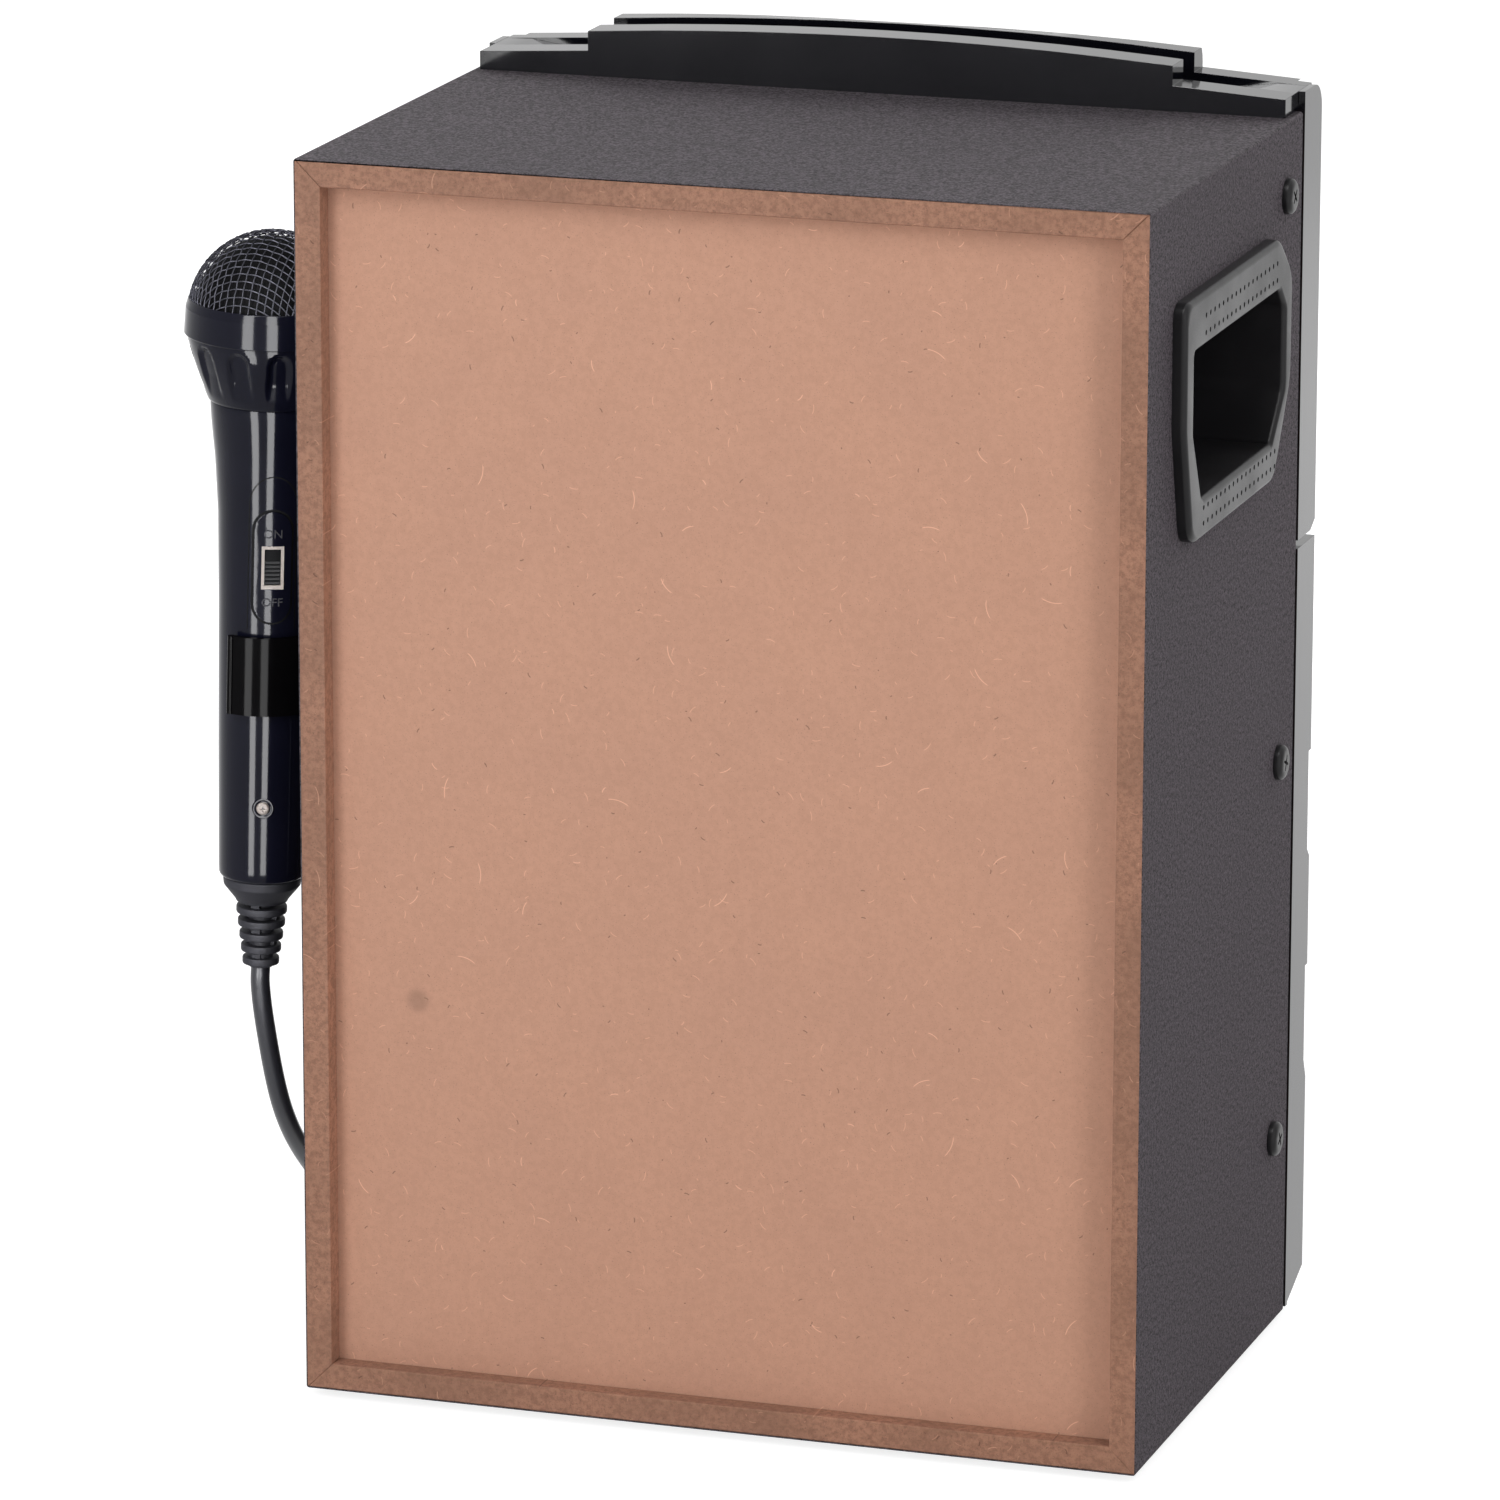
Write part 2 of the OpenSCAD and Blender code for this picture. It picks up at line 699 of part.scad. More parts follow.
module cradle_floor() polygon([
    [-cradle_half_w, slot_floor - 1.5], [cradle_half_w, slot_floor - 1.5], [cradle_half_w, cradle_end_h],
    [cradle_half_w - slot_end, cradle_end_h + 0.4], [cradle_half_w - slot_end - slot_ramp, slot_floor + 2],
    [-cradle_half_w + slot_end + slot_ramp, slot_floor + 2], [-cradle_half_w + slot_end, cradle_end_h + 0.4],
    [-cradle_half_w, cradle_end_h]]);

module tablet_cradle() color([0.08, 0.08, 0.09]) translate([0, 0, top_z]) {
    // rear wall, on the box
    plate_y(slot_y, cradle_rear_t) { cradle_low(); cradle_raised(); }
    difference() {
        union() {
            plate_y(cradle_front_y - e, slot_w + 2 * e) cradle_floor();
            intersection() {
                plate_y(cradle_nose_y, cradle_front_y - cradle_nose_y) { cradle_low(); cradle_raised(); }
                union() {
                    block([-cab_w, cradle_tongue_y, 0], [cab_w, cradle_front_y + e, fascia_rise + 0.2]);
                    block([-cab_w, cradle_tongue_y, 0], [cab_w, cradle_front_y + e, cradle_low_h]);
                    across(cab_w) polygon(concat(
                        [[cradle_front_y + e, 1], [cradle_front_y + e, cradle_mid_h + 1],
                         [cradle_nose_y + nose_r, cradle_mid_h + 1]],
                        [for (a = [90:15:180]) [cradle_nose_y + nose_r * (1 + cos(a)),
                                                cradle_mid_h - nose_r + nose_r * sin(a)]],
                        [[cradle_nose_y, fascia_rise + 0.3], [cradle_tongue_y, fascia_rise + 0.3],
                         [cradle_tongue_y, 1]]));
                }
            }
        }
        // forward of the box the tongue hangs over the notch in the front
        block([-cab_w, front_y - 20, -e], [cab_w, skirt_y, slot_floor]);
    }
}

// ---------- screen ----------

module screen_lens() color([0.05, 0.05, 0.06]) plate_y(front_y, lens_t)
    translate([-lens_w / 2, screen_z - lens_h / 2]) square([lens_w, lens_h]);

module lcd_module() color([0.55, 0.57, 0.60]) plate_y(front_y + front_wall_t, lcd_t)
    translate([-window_w / 2 - 5, screen_z - window_h / 2 - 5]) square([window_w + 10, window_h + 10]);

// ---------- speakers ----------

// Turns a half section (radius, distance behind the wall) about a speaker's axis
module speaker_turn(x) translate([x, band_wall_y, speaker_z]) rotate([-90, 0, 0])
    rotate_extrude() children();

module speaker_grilles() color([0.16, 0.16, 0.17])
    for (x = speaker_x) translate([x, band_y + grille_pocket, speaker_z]) rotate([90, 0, 0])
        linear_extrude(grille_t) difference() {
            circle(d = grille_d);
            grille_holes();
        }

module grille_holes() {
    rows = floor((grille_d / 2 - hole_d) / (hole_pitch * 0.866));
    for (row = [-rows:rows], col = [-8:8]) {
        p = [hole_pitch * (col + (abs(row) % 2) / 2), hole_pitch * 0.866 * row];
        if (polar_r(p) < grille_d / 2 - hole_d) translate(p) circle(d = hole_d, $fn = 24);
    }
}

module light_rings() color([0.85, 0.87, 0.90])
    for (x = speaker_x) translate([x, band_y + ring_pocket, speaker_z]) rotate([90, 0, 0])
        linear_extrude(ring_pocket + ring_proud) difference() {
            circle(r = ring_in_r + ring_w);
            circle(r = ring_in_r);
        }

module speaker_frames() color([0.30, 0.31, 0.33])
    for (x = speaker_x) {
        difference() {
            speaker_turn(x) basket_section();
            for (a = [0:90:270]) translate([x, band_wall_y, speaker_z]) rotate([0, a, 0])
                block([-9, basket_shoulder + 3, magnet_d / 2 - 3], [9, neck_s - 3, speaker_d]);
        }
        speaker_turn(x) magnet_section();
    }

// Flange, short wall past the roll, slanted basket and back ring
module basket_section() {
    rim_r = surround_out_r + 0.2;
    back = neck_s + basket_t;
    polygon([
        [rim_r, gasket_t], [speaker_d / 2, gasket_t], [speaker_d / 2, gasket_t + basket_t],
        [rim_r + basket_t, gasket_t + basket_t], [rim_r + basket_t, basket_shoulder],
        [magnet_d / 2 - 4, neck_s], [magnet_d / 2 - 4, back], [coil_r + 1, back], [coil_r + 1, neck_s],
        [magnet_d / 2 - 6, neck_s], [rim_r, basket_shoulder + 0.5]]);
}

// Front plate, magnet ring and back plate with its pole, as one glued block
module magnet_section() {
    front = neck_s + basket_t + fit;
    ring = front + plate_t;
    back = ring + magnet_t;
    polygon([
        [coil_r + 1, front], [magnet_d / 2 - 4, front], [magnet_d / 2 - 4, ring], [magnet_d / 2, ring],
        [magnet_d / 2, back], [magnet_d / 2 - 4, back], [magnet_d / 2 - 4, back + plate_t],
        [0, back + plate_t], [0, front], [coil_r - 1.2, front], [coil_r - 1.2, back], [coil_r + 1, back]]);
}

module speaker_surrounds() color([0.07, 0.07, 0.07])
    for (x = speaker_x) speaker_turn(x) {
        translate([surround_out_r - 0.3, 0]) square([4, gasket_t]);
        difference() {
            translate([surround_in_r + roll_r, 0]) circle(r = roll_r);
            translate([surround_in_r + roll_r, 0]) circle(r = roll_r - roll_t);
            translate([0, -roll_r - 1]) square([speaker_d, roll_r + 1]);
        }
    }

module speaker_cone(x) color([0.13, 0.13, 0.14]) speaker_turn(x) {
    front = 2.4;
    polygon([
        [cone_d / 2, front], [cone_d / 2, front + cone_t], [coil_r, front + cone_depth],
        [coil_r, neck_s + basket_t + plate_t], [coil_r - cone_t, neck_s + basket_t + plate_t],
        [coil_r - cone_t, front + cone_depth - 6], [coil_r + 2, front + cone_depth - 6],
        [cone_d / 2 - 2, front]]);
    // dust cap
    difference() {
        translate([0, front + cone_depth - 2]) circle(r = coil_r + 2);
        translate([0, front + cone_depth - 2]) circle(r = coil_r + 2 - cone_t);
        translate([-speaker_d, front + cone_depth - 6]) square([2 * speaker_d, speaker_d]);
        translate([-speaker_d, -speaker_d]) square([speaker_d, 2 * speaker_d]);
    }
}

module speaker_cone_left() speaker_cone(speaker_x[0]);
module speaker_cone_right() speaker_cone(speaker_x[1]);

// ---------- disc loader ----------

module in_loader() translate([0, 0, tray_z]) children();

// Opening under the tray for the traverse
module bay(z0, z1) block([-bay_half, bay_front, z0], [bay_half, bay_rear, z1]);

module loader_bracket() color([0.62, 0.63, 0.65]) in_loader() difference() {
    union() {
        block([-chassis_x, wall_y, chassis_floor - bracket_t], [chassis_x, chassis_rear, chassis_floor]);
        block([-chassis_x, wall_y, chassis_floor - bracket_drop],
            [chassis_x, wall_y + bracket_t, chassis_floor]);
    }
    bay(chassis_floor - below, chassis_floor + e);
    translate([motor_x, motor_y, chassis_floor - below]) cylinder(r = motor_r + 1, h = 2 * below);
}

module loader_chassis() color([0.17, 0.17, 0.18]) in_loader() {
    difference() {
        block([-chassis_x, chassis_y, chassis_floor], [chassis_x, chassis_rear, bridge_h]);
        block([-chassis_in, chassis_y - e, chassis_floor + chassis_t],
            [chassis_in, chassis_rear - chassis_t, bridge_h + e]);
        bay(chassis_floor - e, bridge_h);
        translate([motor_x, motor_y, chassis_floor - e]) cylinder(r = 3 * motor_shaft_r, h = below);
        // clears the belt pulley under the tray
        translate([gear_x, gear_y, chassis_floor + chassis_t]) cylinder(r = pulley_r + 1.5, h = pulley_t + 1);
    }
    // ledges that carry the tray
    mirrored() for (y = [chassis_y + 2, tray_rear - 22])
        block([chassis_in - ledge_w, y, chassis_floor + chassis_t - e], [chassis_in + e, y + 20, -run_gap]);
    // post of the tray gear and pillars of the traverse pivot
    translate([gear_x, gear_y, chassis_floor + chassis_t - e])
        cylinder(r = gear_post_r, h = -chassis_floor - chassis_t - 2 * run_gap - 0.2);
    mirrored() difference() {
        block([traverse_half + pillar_gap, pivot_y - pillar_t, chassis_floor + chassis_t - e],
            [traverse_half + pillar_gap + pillar_t, pivot_y + pillar_t, -pillar_gap]);
        translate([0, pivot_y, traverse_z + traverse_t / 2]) rotate([0, 90, 0])
            cylinder(r = pivot_r + shaft_gap, h = traverse_half + below);
    }
}

module disc_tray() color([0.11, 0.11, 0.12]) in_loader() {
    difference() {
        block([-tray_w / 2, tray_y, 0], [tray_w / 2, tray_rear, tray_t]);
        translate([0, disc_y, seat_depth]) cylinder(d = disc_seat_d, h = tray_t, $fn = 96);
        translate([0, disc_y, -e]) cylinder(r = slot_half, h = tray_t);
        block([-slot_half, disc_y, -e], [slot_half, tray_rear + e, tray_t + e]);
    }
    rack();
}

// A straight-flanked rack on the tray's underside, its teeth towards the gear
module rack() {
    pitch = PI * gear_module;
    first = ceil((tray_y + 8 - gear_y) / pitch);
    last = floor((tray_rear - 4 - gear_y) / pitch);
    tip = gear_module * 0.9;
    root = gear_module * 1.25;
    flank = tan(20);
    half = pitch / 4 - backlash / 2;
    line_x = gear_x - gear_r;
    translate([0, 0, -rack_h]) linear_extrude(rack_h + e) {
        translate([rack_x - 2, tray_y + 5]) square([line_x - root - rack_x + 2, tray_len - 8]);
        for (i = [first:last]) translate([line_x, gear_y + i * pitch]) polygon([
            [-root - e, -half - root * flank], [tip, -half + tip * flank],
            [tip, half - tip * flank], [-root - e, half + root * flank]]);
    }
}

module tray_front() color([0.09, 0.09, 0.10]) in_loader()
    plate_y(front_y, tray_y - front_y) translate([-bezel_w / 2, 1 - bezel_h / 2]) square([bezel_w, bezel_h]);

// Spur gear outline with involute flanks; one gap faces -X, where the rack's tooth lies
module spur(teeth, mod) {
    pitch_r = mod * teeth / 2;
    base_r = pitch_r * cos(20);
    tip_r = pitch_r + mod * 0.9;
    root_r = pitch_r - mod * 1.25;
    roll_pitch = sqrt(pow(pitch_r / base_r, 2) - 1) * 180 / PI;
    roll_tip = sqrt(pow(tip_r / base_r, 2) - 1) * 180 / PI;
    skew = atan2(involute(base_r, roll_pitch)[1], involute(base_r, roll_pitch)[0]);
    half = 90 / teeth - backlash / 2 / pitch_r * 180 / PI;
    flank = [for (i = [0:4]) turned(involute(base_r, roll_tip * i / 4), -skew - half)];
    circle(r = root_r + 0.2);
    for (i = [0:teeth - 1]) rotate(180 + 180 / teeth + i * 360 / teeth)
        polygon(concat([turned([root_r - 1, 0], -half)], flank,
            [for (j = [4:-1:0]) [flank[j][0], -flank[j][1]]], [turned([root_r - 1, 0], half)]));
}

module tray_gear() color([0.85, 0.85, 0.82]) in_loader() translate([gear_x, gear_y, 0]) difference() {
    union() {
        translate([0, 0, -2 * run_gap - gear_t]) linear_extrude(gear_t) spur(gear_teeth, gear_module);
        translate([0, 0, -gear_t - gear_hub_h]) cylinder(r = 6, h = 2);
        translate([0, 0, belt_z]) belt_pulley(pulley_r);
    }
    translate([0, 0, -pulley_t - 12]) cylinder(r = gear_post_r + shaft_gap, h = 24);
}

// A flanged wheel with a groove for the belt, its middle at the belt's height
module belt_pulley(r) difference() {
    translate([0, 0, -pulley_t / 2]) cylinder(r = r, h = pulley_t);
    translate([0, 0, 1 - pulley_t / 2]) rotate_extrude()
        translate([r - pulley_groove, 0]) square([3, pulley_t - 2]);
}

module motor_pulley() color([0.90, 0.88, 0.80]) in_loader()
    translate([motor_x, motor_y, belt_z]) difference() {
        belt_pulley(motor_pulley_r);
        translate([0, 0, -pulley_t]) cylinder(r = motor_shaft_r + shaft_gap, h = 2 * pulley_t);
    }

module loader_motor() color([0.70, 0.71, 0.73]) in_loader() translate([motor_x, motor_y, 0]) {
    translate([0, 0, chassis_floor - motor_h]) cylinder(r = motor_r, h = motor_h);
    translate([0, 0, chassis_floor - e])
        cylinder(r = motor_shaft_r, h = belt_z + pulley_t / 2 - chassis_floor);
}

module drive_belt() color([0.06, 0.06, 0.06]) in_loader() translate([0, 0, belt_z - belt_h / 2])
    linear_extrude(belt_h) difference() {
        belt_loop(belt_t + fit);
        belt_loop(fit);
    }

module belt_loop(out) hull() {
    translate([gear_x, gear_y]) circle(r = pulley_r - pulley_groove + out, $fn = 48);
    translate([motor_x, motor_y]) circle(r = motor_pulley_r - pulley_groove + out, $fn = 32);
}

// ---------- traverse ----------

module traverse_frame() color([0.22, 0.22, 0.24]) in_loader() {
    difference() {
        block([-traverse_half, traverse_front, traverse_z],
            [traverse_half, pivot_y + 3, traverse_z + traverse_t]);
        block([-well_half, well_front, traverse_z - e],
            [well_half, rod_rear - 4, traverse_z + traverse_t + e]);
        translate([0, disc_y, traverse_z - e]) cylinder(r = 4, h = traverse_t + 2 * e);
    }
    // pivot shaft in the chassis pillars
    shaft_half = traverse_half + pillar_gap + pillar_t - 0.2;
    translate([-shaft_half, pivot_y, traverse_z + traverse_t / 2]) rotate([0, 90, 0])
        cylinder(r = pivot_r, h = 2 * shaft_half);
    mirrored() rod_posts(rod_x, rod_r);
    rod_posts(screw_x, lead_r);
}

// A post at each end of a rod
module rod_posts(x, r)
    for (y = [rod_front - post_t, rod_rear]) difference() {
        block([x - post_half, y, traverse_z + traverse_t - e], [x + post_half, y + post_t, post_top]);
        translate([x, y - e, rod_z]) rotate([-90, 0, 0]) cylinder(r = r + shaft_gap, h = post_t + 1);
    }

module guide_rods() color([0.80, 0.81, 0.83]) in_loader() mirrored()
    translate([rod_x, rod_front - post_t, rod_z]) rotate([-90, 0, 0])
        cylinder(r = rod_r, h = rod_rear - rod_front + 2 * post_t);

module lead_screw() color([0.78, 0.79, 0.80]) in_loader()
    translate([screw_x, rod_front - post_t - 0.2, rod_z]) rotate([-90, 0, 0]) {
        cylinder(r = lead_r, h = rod_rear - rod_front + 12);
        translate([0, 0, rod_rear - rod_front + 10]) cylinder(r = lead_r + 1, h = 4);
    }

module pickup_sled() color([0.14, 0.14, 0.15]) in_loader() difference() {
    union() {
        block([-sled_half, sled_y - sled_len / 2, rod_z - 2], [sled_half, sled_y + sled_len / 2, rod_z + 3]);
        block([sled_half - e, sled_y - 4, rod_z - 2], [screw_x + 3.5, sled_y + 4, rod_z + 3]);
        translate([0, sled_y, rod_z + 3 - e]) cylinder(r = 5, h = 1.5);
        translate([0, sled_y, rod_z + 4.4]) cylinder(r = 2, h = 1);
    }
    mirrored() translate([rod_x, sled_y - sled_len, rod_z]) rotate([-90, 0, 0])
        cylinder(r = rod_r + shaft_gap, h = 2 * sled_len);
    translate([screw_x, sled_y - sled_len, rod_z]) rotate([-90, 0, 0])
        cylinder(r = lead_r + 0.3, h = 2 * sled_len);
}

module traverse_motors() color([0.66, 0.67, 0.70]) in_loader() {
    translate([0, disc_y, traverse_z - spin_motor_h]) {
        cylinder(r = spin_motor_r, h = spin_motor_h);
        cylinder(r = 3.8, h = spin_motor_h + traverse_t);
        cylinder(r = spindle_r, h = motor_shaft_h);
    }
    // feed motor behind the screw
    block([screw_x - 6, rod_rear + 12.5, traverse_z + traverse_t], [screw_x + 6, rod_rear + 24, rod_z + 6]);
}

module turntable() color([0.24, 0.24, 0.25]) in_loader() translate([0, disc_y, 0]) difference() {
    union() {
        translate([0, 0, table_z - table_t]) cylinder(r = table_r, h = table_t);
        translate([0, 0, traverse_z + traverse_t + run_gap])
            cylinder(r = 4, h = table_z - traverse_z - traverse_t - 1);
        translate([0, 0, table_z - e]) cylinder(r1 = cone_tip_r, r2 = cone_tip_r - 1, h = 1);
        translate([0, 0, table_z + 1 - e]) cylinder(r1 = cone_tip_r - 1, r2 = cone_tip_r - 4, h = 1.2);
    }
    translate([0, 0, traverse_z])
        cylinder(r = spindle_r + shaft_gap, h = motor_shaft_h - spin_motor_h + run_gap);
}

module clamp_bridge() color([0.60, 0.61, 0.63]) in_loader() difference() {
    block([-chassis_x, disc_y - bridge_w / 2, bridge_h],
        [chassis_x, disc_y + bridge_w / 2, bridge_h + bridge_t]);
    translate([0, disc_y, bridge_h - e]) cylinder(r = puck_neck_r + 0.5, h = bridge_t + 2 * e);
}

module clamp_puck() color([0.92, 0.92, 0.90]) in_loader() translate([0, disc_y, 0]) difference() {
    union() {
        translate([0, 0, bridge_h + bridge_t + run_gap]) cylinder(r = puck_r, h = 2);
        translate([0, 0, table_z + 1.6]) cylinder(r = puck_neck_r, h = bridge_h + bridge_t - table_z);
        translate([0, 0, table_z + 1.6]) cylinder(r = puck_r - 1, h = 3);
    }
    translate([0, 0, table_z]) cylinder(r = cone_tip_r + 1, h = 4);
}

// ---------- controls ----------

function button_x(i) = (i - 1.5) * button_pitch;
function button_size(i) = i == 1 ? play_d : button_d;

// A push button: cap, retaining flange behind the wall and a stem towards its switch
module push_button(x, z, wall_front, wall_back, d, proud, reach) {
    round_y(x, z, wall_front - proud, wall_back - wall_front + proud + run_gap + e, d / 2);
    round_y(x, z, wall_back + run_gap, button_flange_t, d / 2 + button_flange);
    round_y(x, z, wall_back + run_gap, reach - run_gap, stem_r);
}

module track_button(i) color([0.72, 0.73, 0.75])
    push_button(button_x(i), button_z, front_y, wall_y, button_size(i), button_proud,
        control_gap - switch_h - 0.7 - button_travel - run_gap);

module previous_button() track_button(0);
module play_button() track_button(1);
module next_button() track_button(2);
module eject_button() track_button(3);

module power_button() color([0.70, 0.12, 0.12])
    push_button(power_x, socket_z, band_y, band_wall_y, power_d, button_proud,
        socket_gap - 6 - button_travel - run_gap);

module control_board() color([0.10, 0.36, 0.20]) {
    block([-post_x - 8, control_y, button_z - post_z - 4],
        [post_x + 8, control_y + board_pcb_t, button_z + post_z + 4]);
    for (i = [0:3]) {
        block([button_x(i) - 3, control_y - switch_h, button_z - 3],
            [button_x(i) + 3, control_y + e, button_z + 3]);
        round_y(button_x(i), button_z, control_y - switch_h - 0.7, 1, 1.7);
    }
}

module knob(i) color([0.62, 0.63, 0.66])
    translate([i * knob_pitch, front_y - knob_gap, knob_z]) rotate([90, 0, 0]) difference() {
        union() {
            cylinder(d = knob_d + 2, h = 2);
            cylinder(d = knob_d, h = knob_h - 1);
            translate([0, 0, knob_h - 1]) cylinder(d1 = knob_d, d2 = knob_d - 2, h = 1);
        }
        translate([0, 0, -e]) cylinder(r = pot_shaft_r + shaft_gap, h = knob_h - 4);
        // pointer
        block([-0.7, knob_d / 2 - 9, knob_h - 0.6], [0.7, knob_d / 2 - 2, knob_h + 1]);
    }

module knob_mic() knob(-1);
module knob_echo() knob(0);
module knob_music() knob(1);

module potentiometers() color([0.45, 0.46, 0.48])
    for (i = [-1:1]) {
        round_y(i * knob_pitch, knob_z, front_y - knob_gap - knob_h + 5,
            knob_h + fascia_wall - 3, pot_shaft_r);
        round_y(i * knob_pitch, knob_z, wall_y - 1, 2, 3.6);
        round_y(i * knob_pitch, knob_z, wall_y, 9, 8.5);
    }

module socket_board() color([0.12, 0.12, 0.13]) difference() {
    union() {
        block([-socket_board_half, socket_y, socket_z - socket_board_rise],
            [socket_board_half, socket_y + board_pcb_t, socket_z + socket_board_rise]);
        for (x = mic_jack_x) {
            block([x - 8, band_wall_y, socket_z - 7], [x + 8, socket_y + e, socket_z + 7]);
            round_y(x, socket_z, band_y, 5, 4.5);
        }
        block([line_jack_x - 6, band_wall_y, socket_z - 5], [line_jack_x + 6, socket_y + e, socket_z + 5]);
        round_y(line_jack_x, socket_z, band_y + 0.5, 5, 3);
        block([usb_x - usb_w / 2 - 0.4, band_y + 0.5, socket_z - usb_h / 2 - 0.4],
            [usb_x + usb_w / 2 + 0.4, socket_y + e, socket_z + usb_h / 2 + 0.4]);
        block([dc_x - 6, band_wall_y, socket_z - 6], [dc_x + 6, socket_y + e, socket_z + 6]);
        block([power_x - 6, socket_y - 5, socket_z - 6], [power_x + 6, socket_y + e, socket_z + 6]);
        round_y(power_x, socket_z, socket_y - 6, 2, 2);
    }
    for (x = mic_jack_x) round_y(x, socket_z, band_y - e, socket_gap, mic_jack_r);
    round_y(line_jack_x, socket_z, band_y, 15, line_jack_r);
    block([usb_x - usb_w / 2, band_y, socket_z - usb_h / 2],
        [usb_x + usb_w / 2, socket_y - 4, socket_z + usb_h / 2]);
    difference() {
        round_y(dc_x, socket_z, band_wall_y - e, 12, 2.85);
        round_y(dc_x, socket_z, band_wall_y + 1, 20, 1);
    }
}

module main_board() color([0.09, 0.33, 0.18]) translate([0, 10, in_floor]) {
    block([-60, -45, 8], [60, 45, 8 + board_pcb_t]);
    for (x = [-1, 1], y = [-1, 1]) translate([x * 54, y * 39, 0]) cylinder(r = 3, h = 8 + e);
    block([-50, -35, 9], [-25, -10, 12]);
    block([10, -38, 9], [50, -20, 34]);
    for (x = [-40, -24, -8]) translate([x, 20, 9]) cylinder(r = 6, h = 20);
    block([15, 5, 9], [30, 20, 11]);
}

// ---------- microphone ----------

// Places children whose z axis is the microphone's, zero at the foot of its handle
module on_mic() translate(mic_foot) rotate([0, -mic_lean, 0]) translate([0, 0, relief_len]) children();

module mic_turn() on_mic() rotate_extrude() children();

handle_curve = [
    [handle_foot_r, 0], [handle_foot_r + 0.3, 1.5], [16.3, 48], [16.8, 80], [17.1, 100], [17.9, 132],
    [19.2, handle_len - 21], [20.6, handle_len - 9], [21.4, handle_len]];

module mic_handle() color([0.12, 0.13, 0.18]) difference() {
    mic_turn() polygon(concat(handle_curve, [for (i = [len(handle_curve) - 1:-1:1])
        handle_curve[i] - [handle_wall, 0]],
        [[handle_foot_r - handle_wall, handle_wall], [4, handle_wall], [4, 0]]));
    // seat of the switch plate
    on_switch() block([-7, 10, -12], [7, 40, 12]);
}

module mic_collar() color([0.10, 0.11, 0.15]) difference() {
    mic_turn() polygon([
        [21.8, collar_z + fit], [23.5, collar_z + 1], [25.5, collar_z + 6], [28.5, collar_z + 15],
        [30, collar_z + 23], [30.6, collar_z + 25], [30.6, collar_z + 33], [29.9, collar_z + collar_h],
        [27.6, collar_z + collar_h], [27.6, collar_z + 24], [22.6, collar_z + 6], [17.2, collar_z + 2],
        [17.2, collar_z - 4], [18.8, collar_z - 4], [18.8, collar_z + fit]]);
    // finger scallops
    for (a = [0:30:330]) on_mic() rotate(a) translate([31.5, 0, collar_z + 4]) rotate([0, 20, 0])
        cylinder(r = 4, h = 16, $fn = 24);
}

module mic_grille() color([0.14, 0.15, 0.18]) mic_turn() difference() {
    translate([0, ball_h]) circle(r = ball_r);
    translate([0, ball_h]) circle(r = ball_r - 1.2);
    translate([-2 * ball_r, 0]) square([2 * ball_r, ball_h + 2 * ball_r]);
    translate([-e, 0]) square([2 * ball_r, collar_z + collar_h + fit]);
}

module mic_capsule() color([0.55, 0.56, 0.58]) on_mic() {
    translate([0, 0, collar_z + 5]) cylinder(r = 13, h = 26);
    translate([0, 0, collar_z + 31 - e]) cylinder(r = 11, h = 3);
    translate([0, 0, collar_z + 8]) cylinder(r = 22.5, h = 2);
}

// Places children whose y axis looks out of the switch, zero in the middle of its travel
module on_switch() on_mic() rotate(switch_turn) translate([0, 0, switch_mid]) children();

module mic_switch_plate() color([0.75, 0.76, 0.78]) on_switch() difference() {
    block([-6.8, 13, -11.8], [6.8, 18.6, 11.8]);
    block([-3.2, 14, -7], [3.2, 20, 7]);
}

module mic_switch() color([0.08, 0.08, 0.09]) on_switch() translate([0, 0, -switch_travel / 2])
    block([-2.9, 14 + run_gap, -4.4], [2.9, 20.2, 4.4]);

module mic_relief() color([0.13, 0.14, 0.18]) mic_turn() polygon([
    [0, 0.5], [3.9, 0.5], [3.9, -e], [13, -e], [12.6, -3], [10, -7], [9.2, -9], [7.6, -9.5], [7.6, -11.5],
    [9, -12], [9, -15], [7, -15.5], [7, -17.5], [8.4, -18], [8.4, -21], [6.4, -21.5], [6.4, -23.5],
    [7.6, -24], [7.6, -27], [5.8, -27.5], [5.8, -29.5], [6.8, -30], [6.8, fit - relief_len], [0, fit - relief_len]]);

// A C-shaped band round the handle on an arm from the side of the box
module mic_clip() color([0.05, 0.05, 0.06]) {
    in_clip(clip_mid - clip_h / 2) {
        difference() {
            cylinder(r = clip_r + clip_wall, h = clip_h);
            translate([0, 0, -e]) cylinder(r = clip_r, h = clip_h + 2 * e);
            translate([0, 0, -e]) linear_extrude(clip_h + 2 * e) clip_mouth();
        }
        for (s = [-1, 1]) rotate(s * clip_tip_angle) translate([clip_r + clip_wall / 2 + 0.3, 0, 0])
            cylinder(r = clip_bead_r, h = clip_h, $fn = 24);
    }
    difference() {
        block([half_w, mic_foot[1] - clip_arm_w / 2, clip_z - clip_arm_h / 2],
            [clip_x - clip_r, mic_foot[1] + clip_arm_w / 2, clip_z + clip_arm_h / 2]);
        in_clip(clip_mid - 2 * clip_h) cylinder(r = clip_r + clip_wall / 2, h = 4 * clip_h);
    }
    block([half_w, mic_foot[1] - clip_base_w / 2, clip_z - clip_base_h / 2],
        [half_w + clip_base_t, mic_foot[1] + clip_base_w / 2, clip_z + clip_base_h / 2]);
}

module in_clip(z) on_mic() translate([clip_offset, 0, z]) children();

module clip_mouth(reach = 80) polygon([[0, 0],
    reach * [cos(clip_tip_angle), -sin(clip_tip_angle)], [reach, -reach / 2], [reach, reach / 2],
    reach * [cos(clip_tip_angle), sin(clip_tip_angle)]]);

// ---------- cord ----------

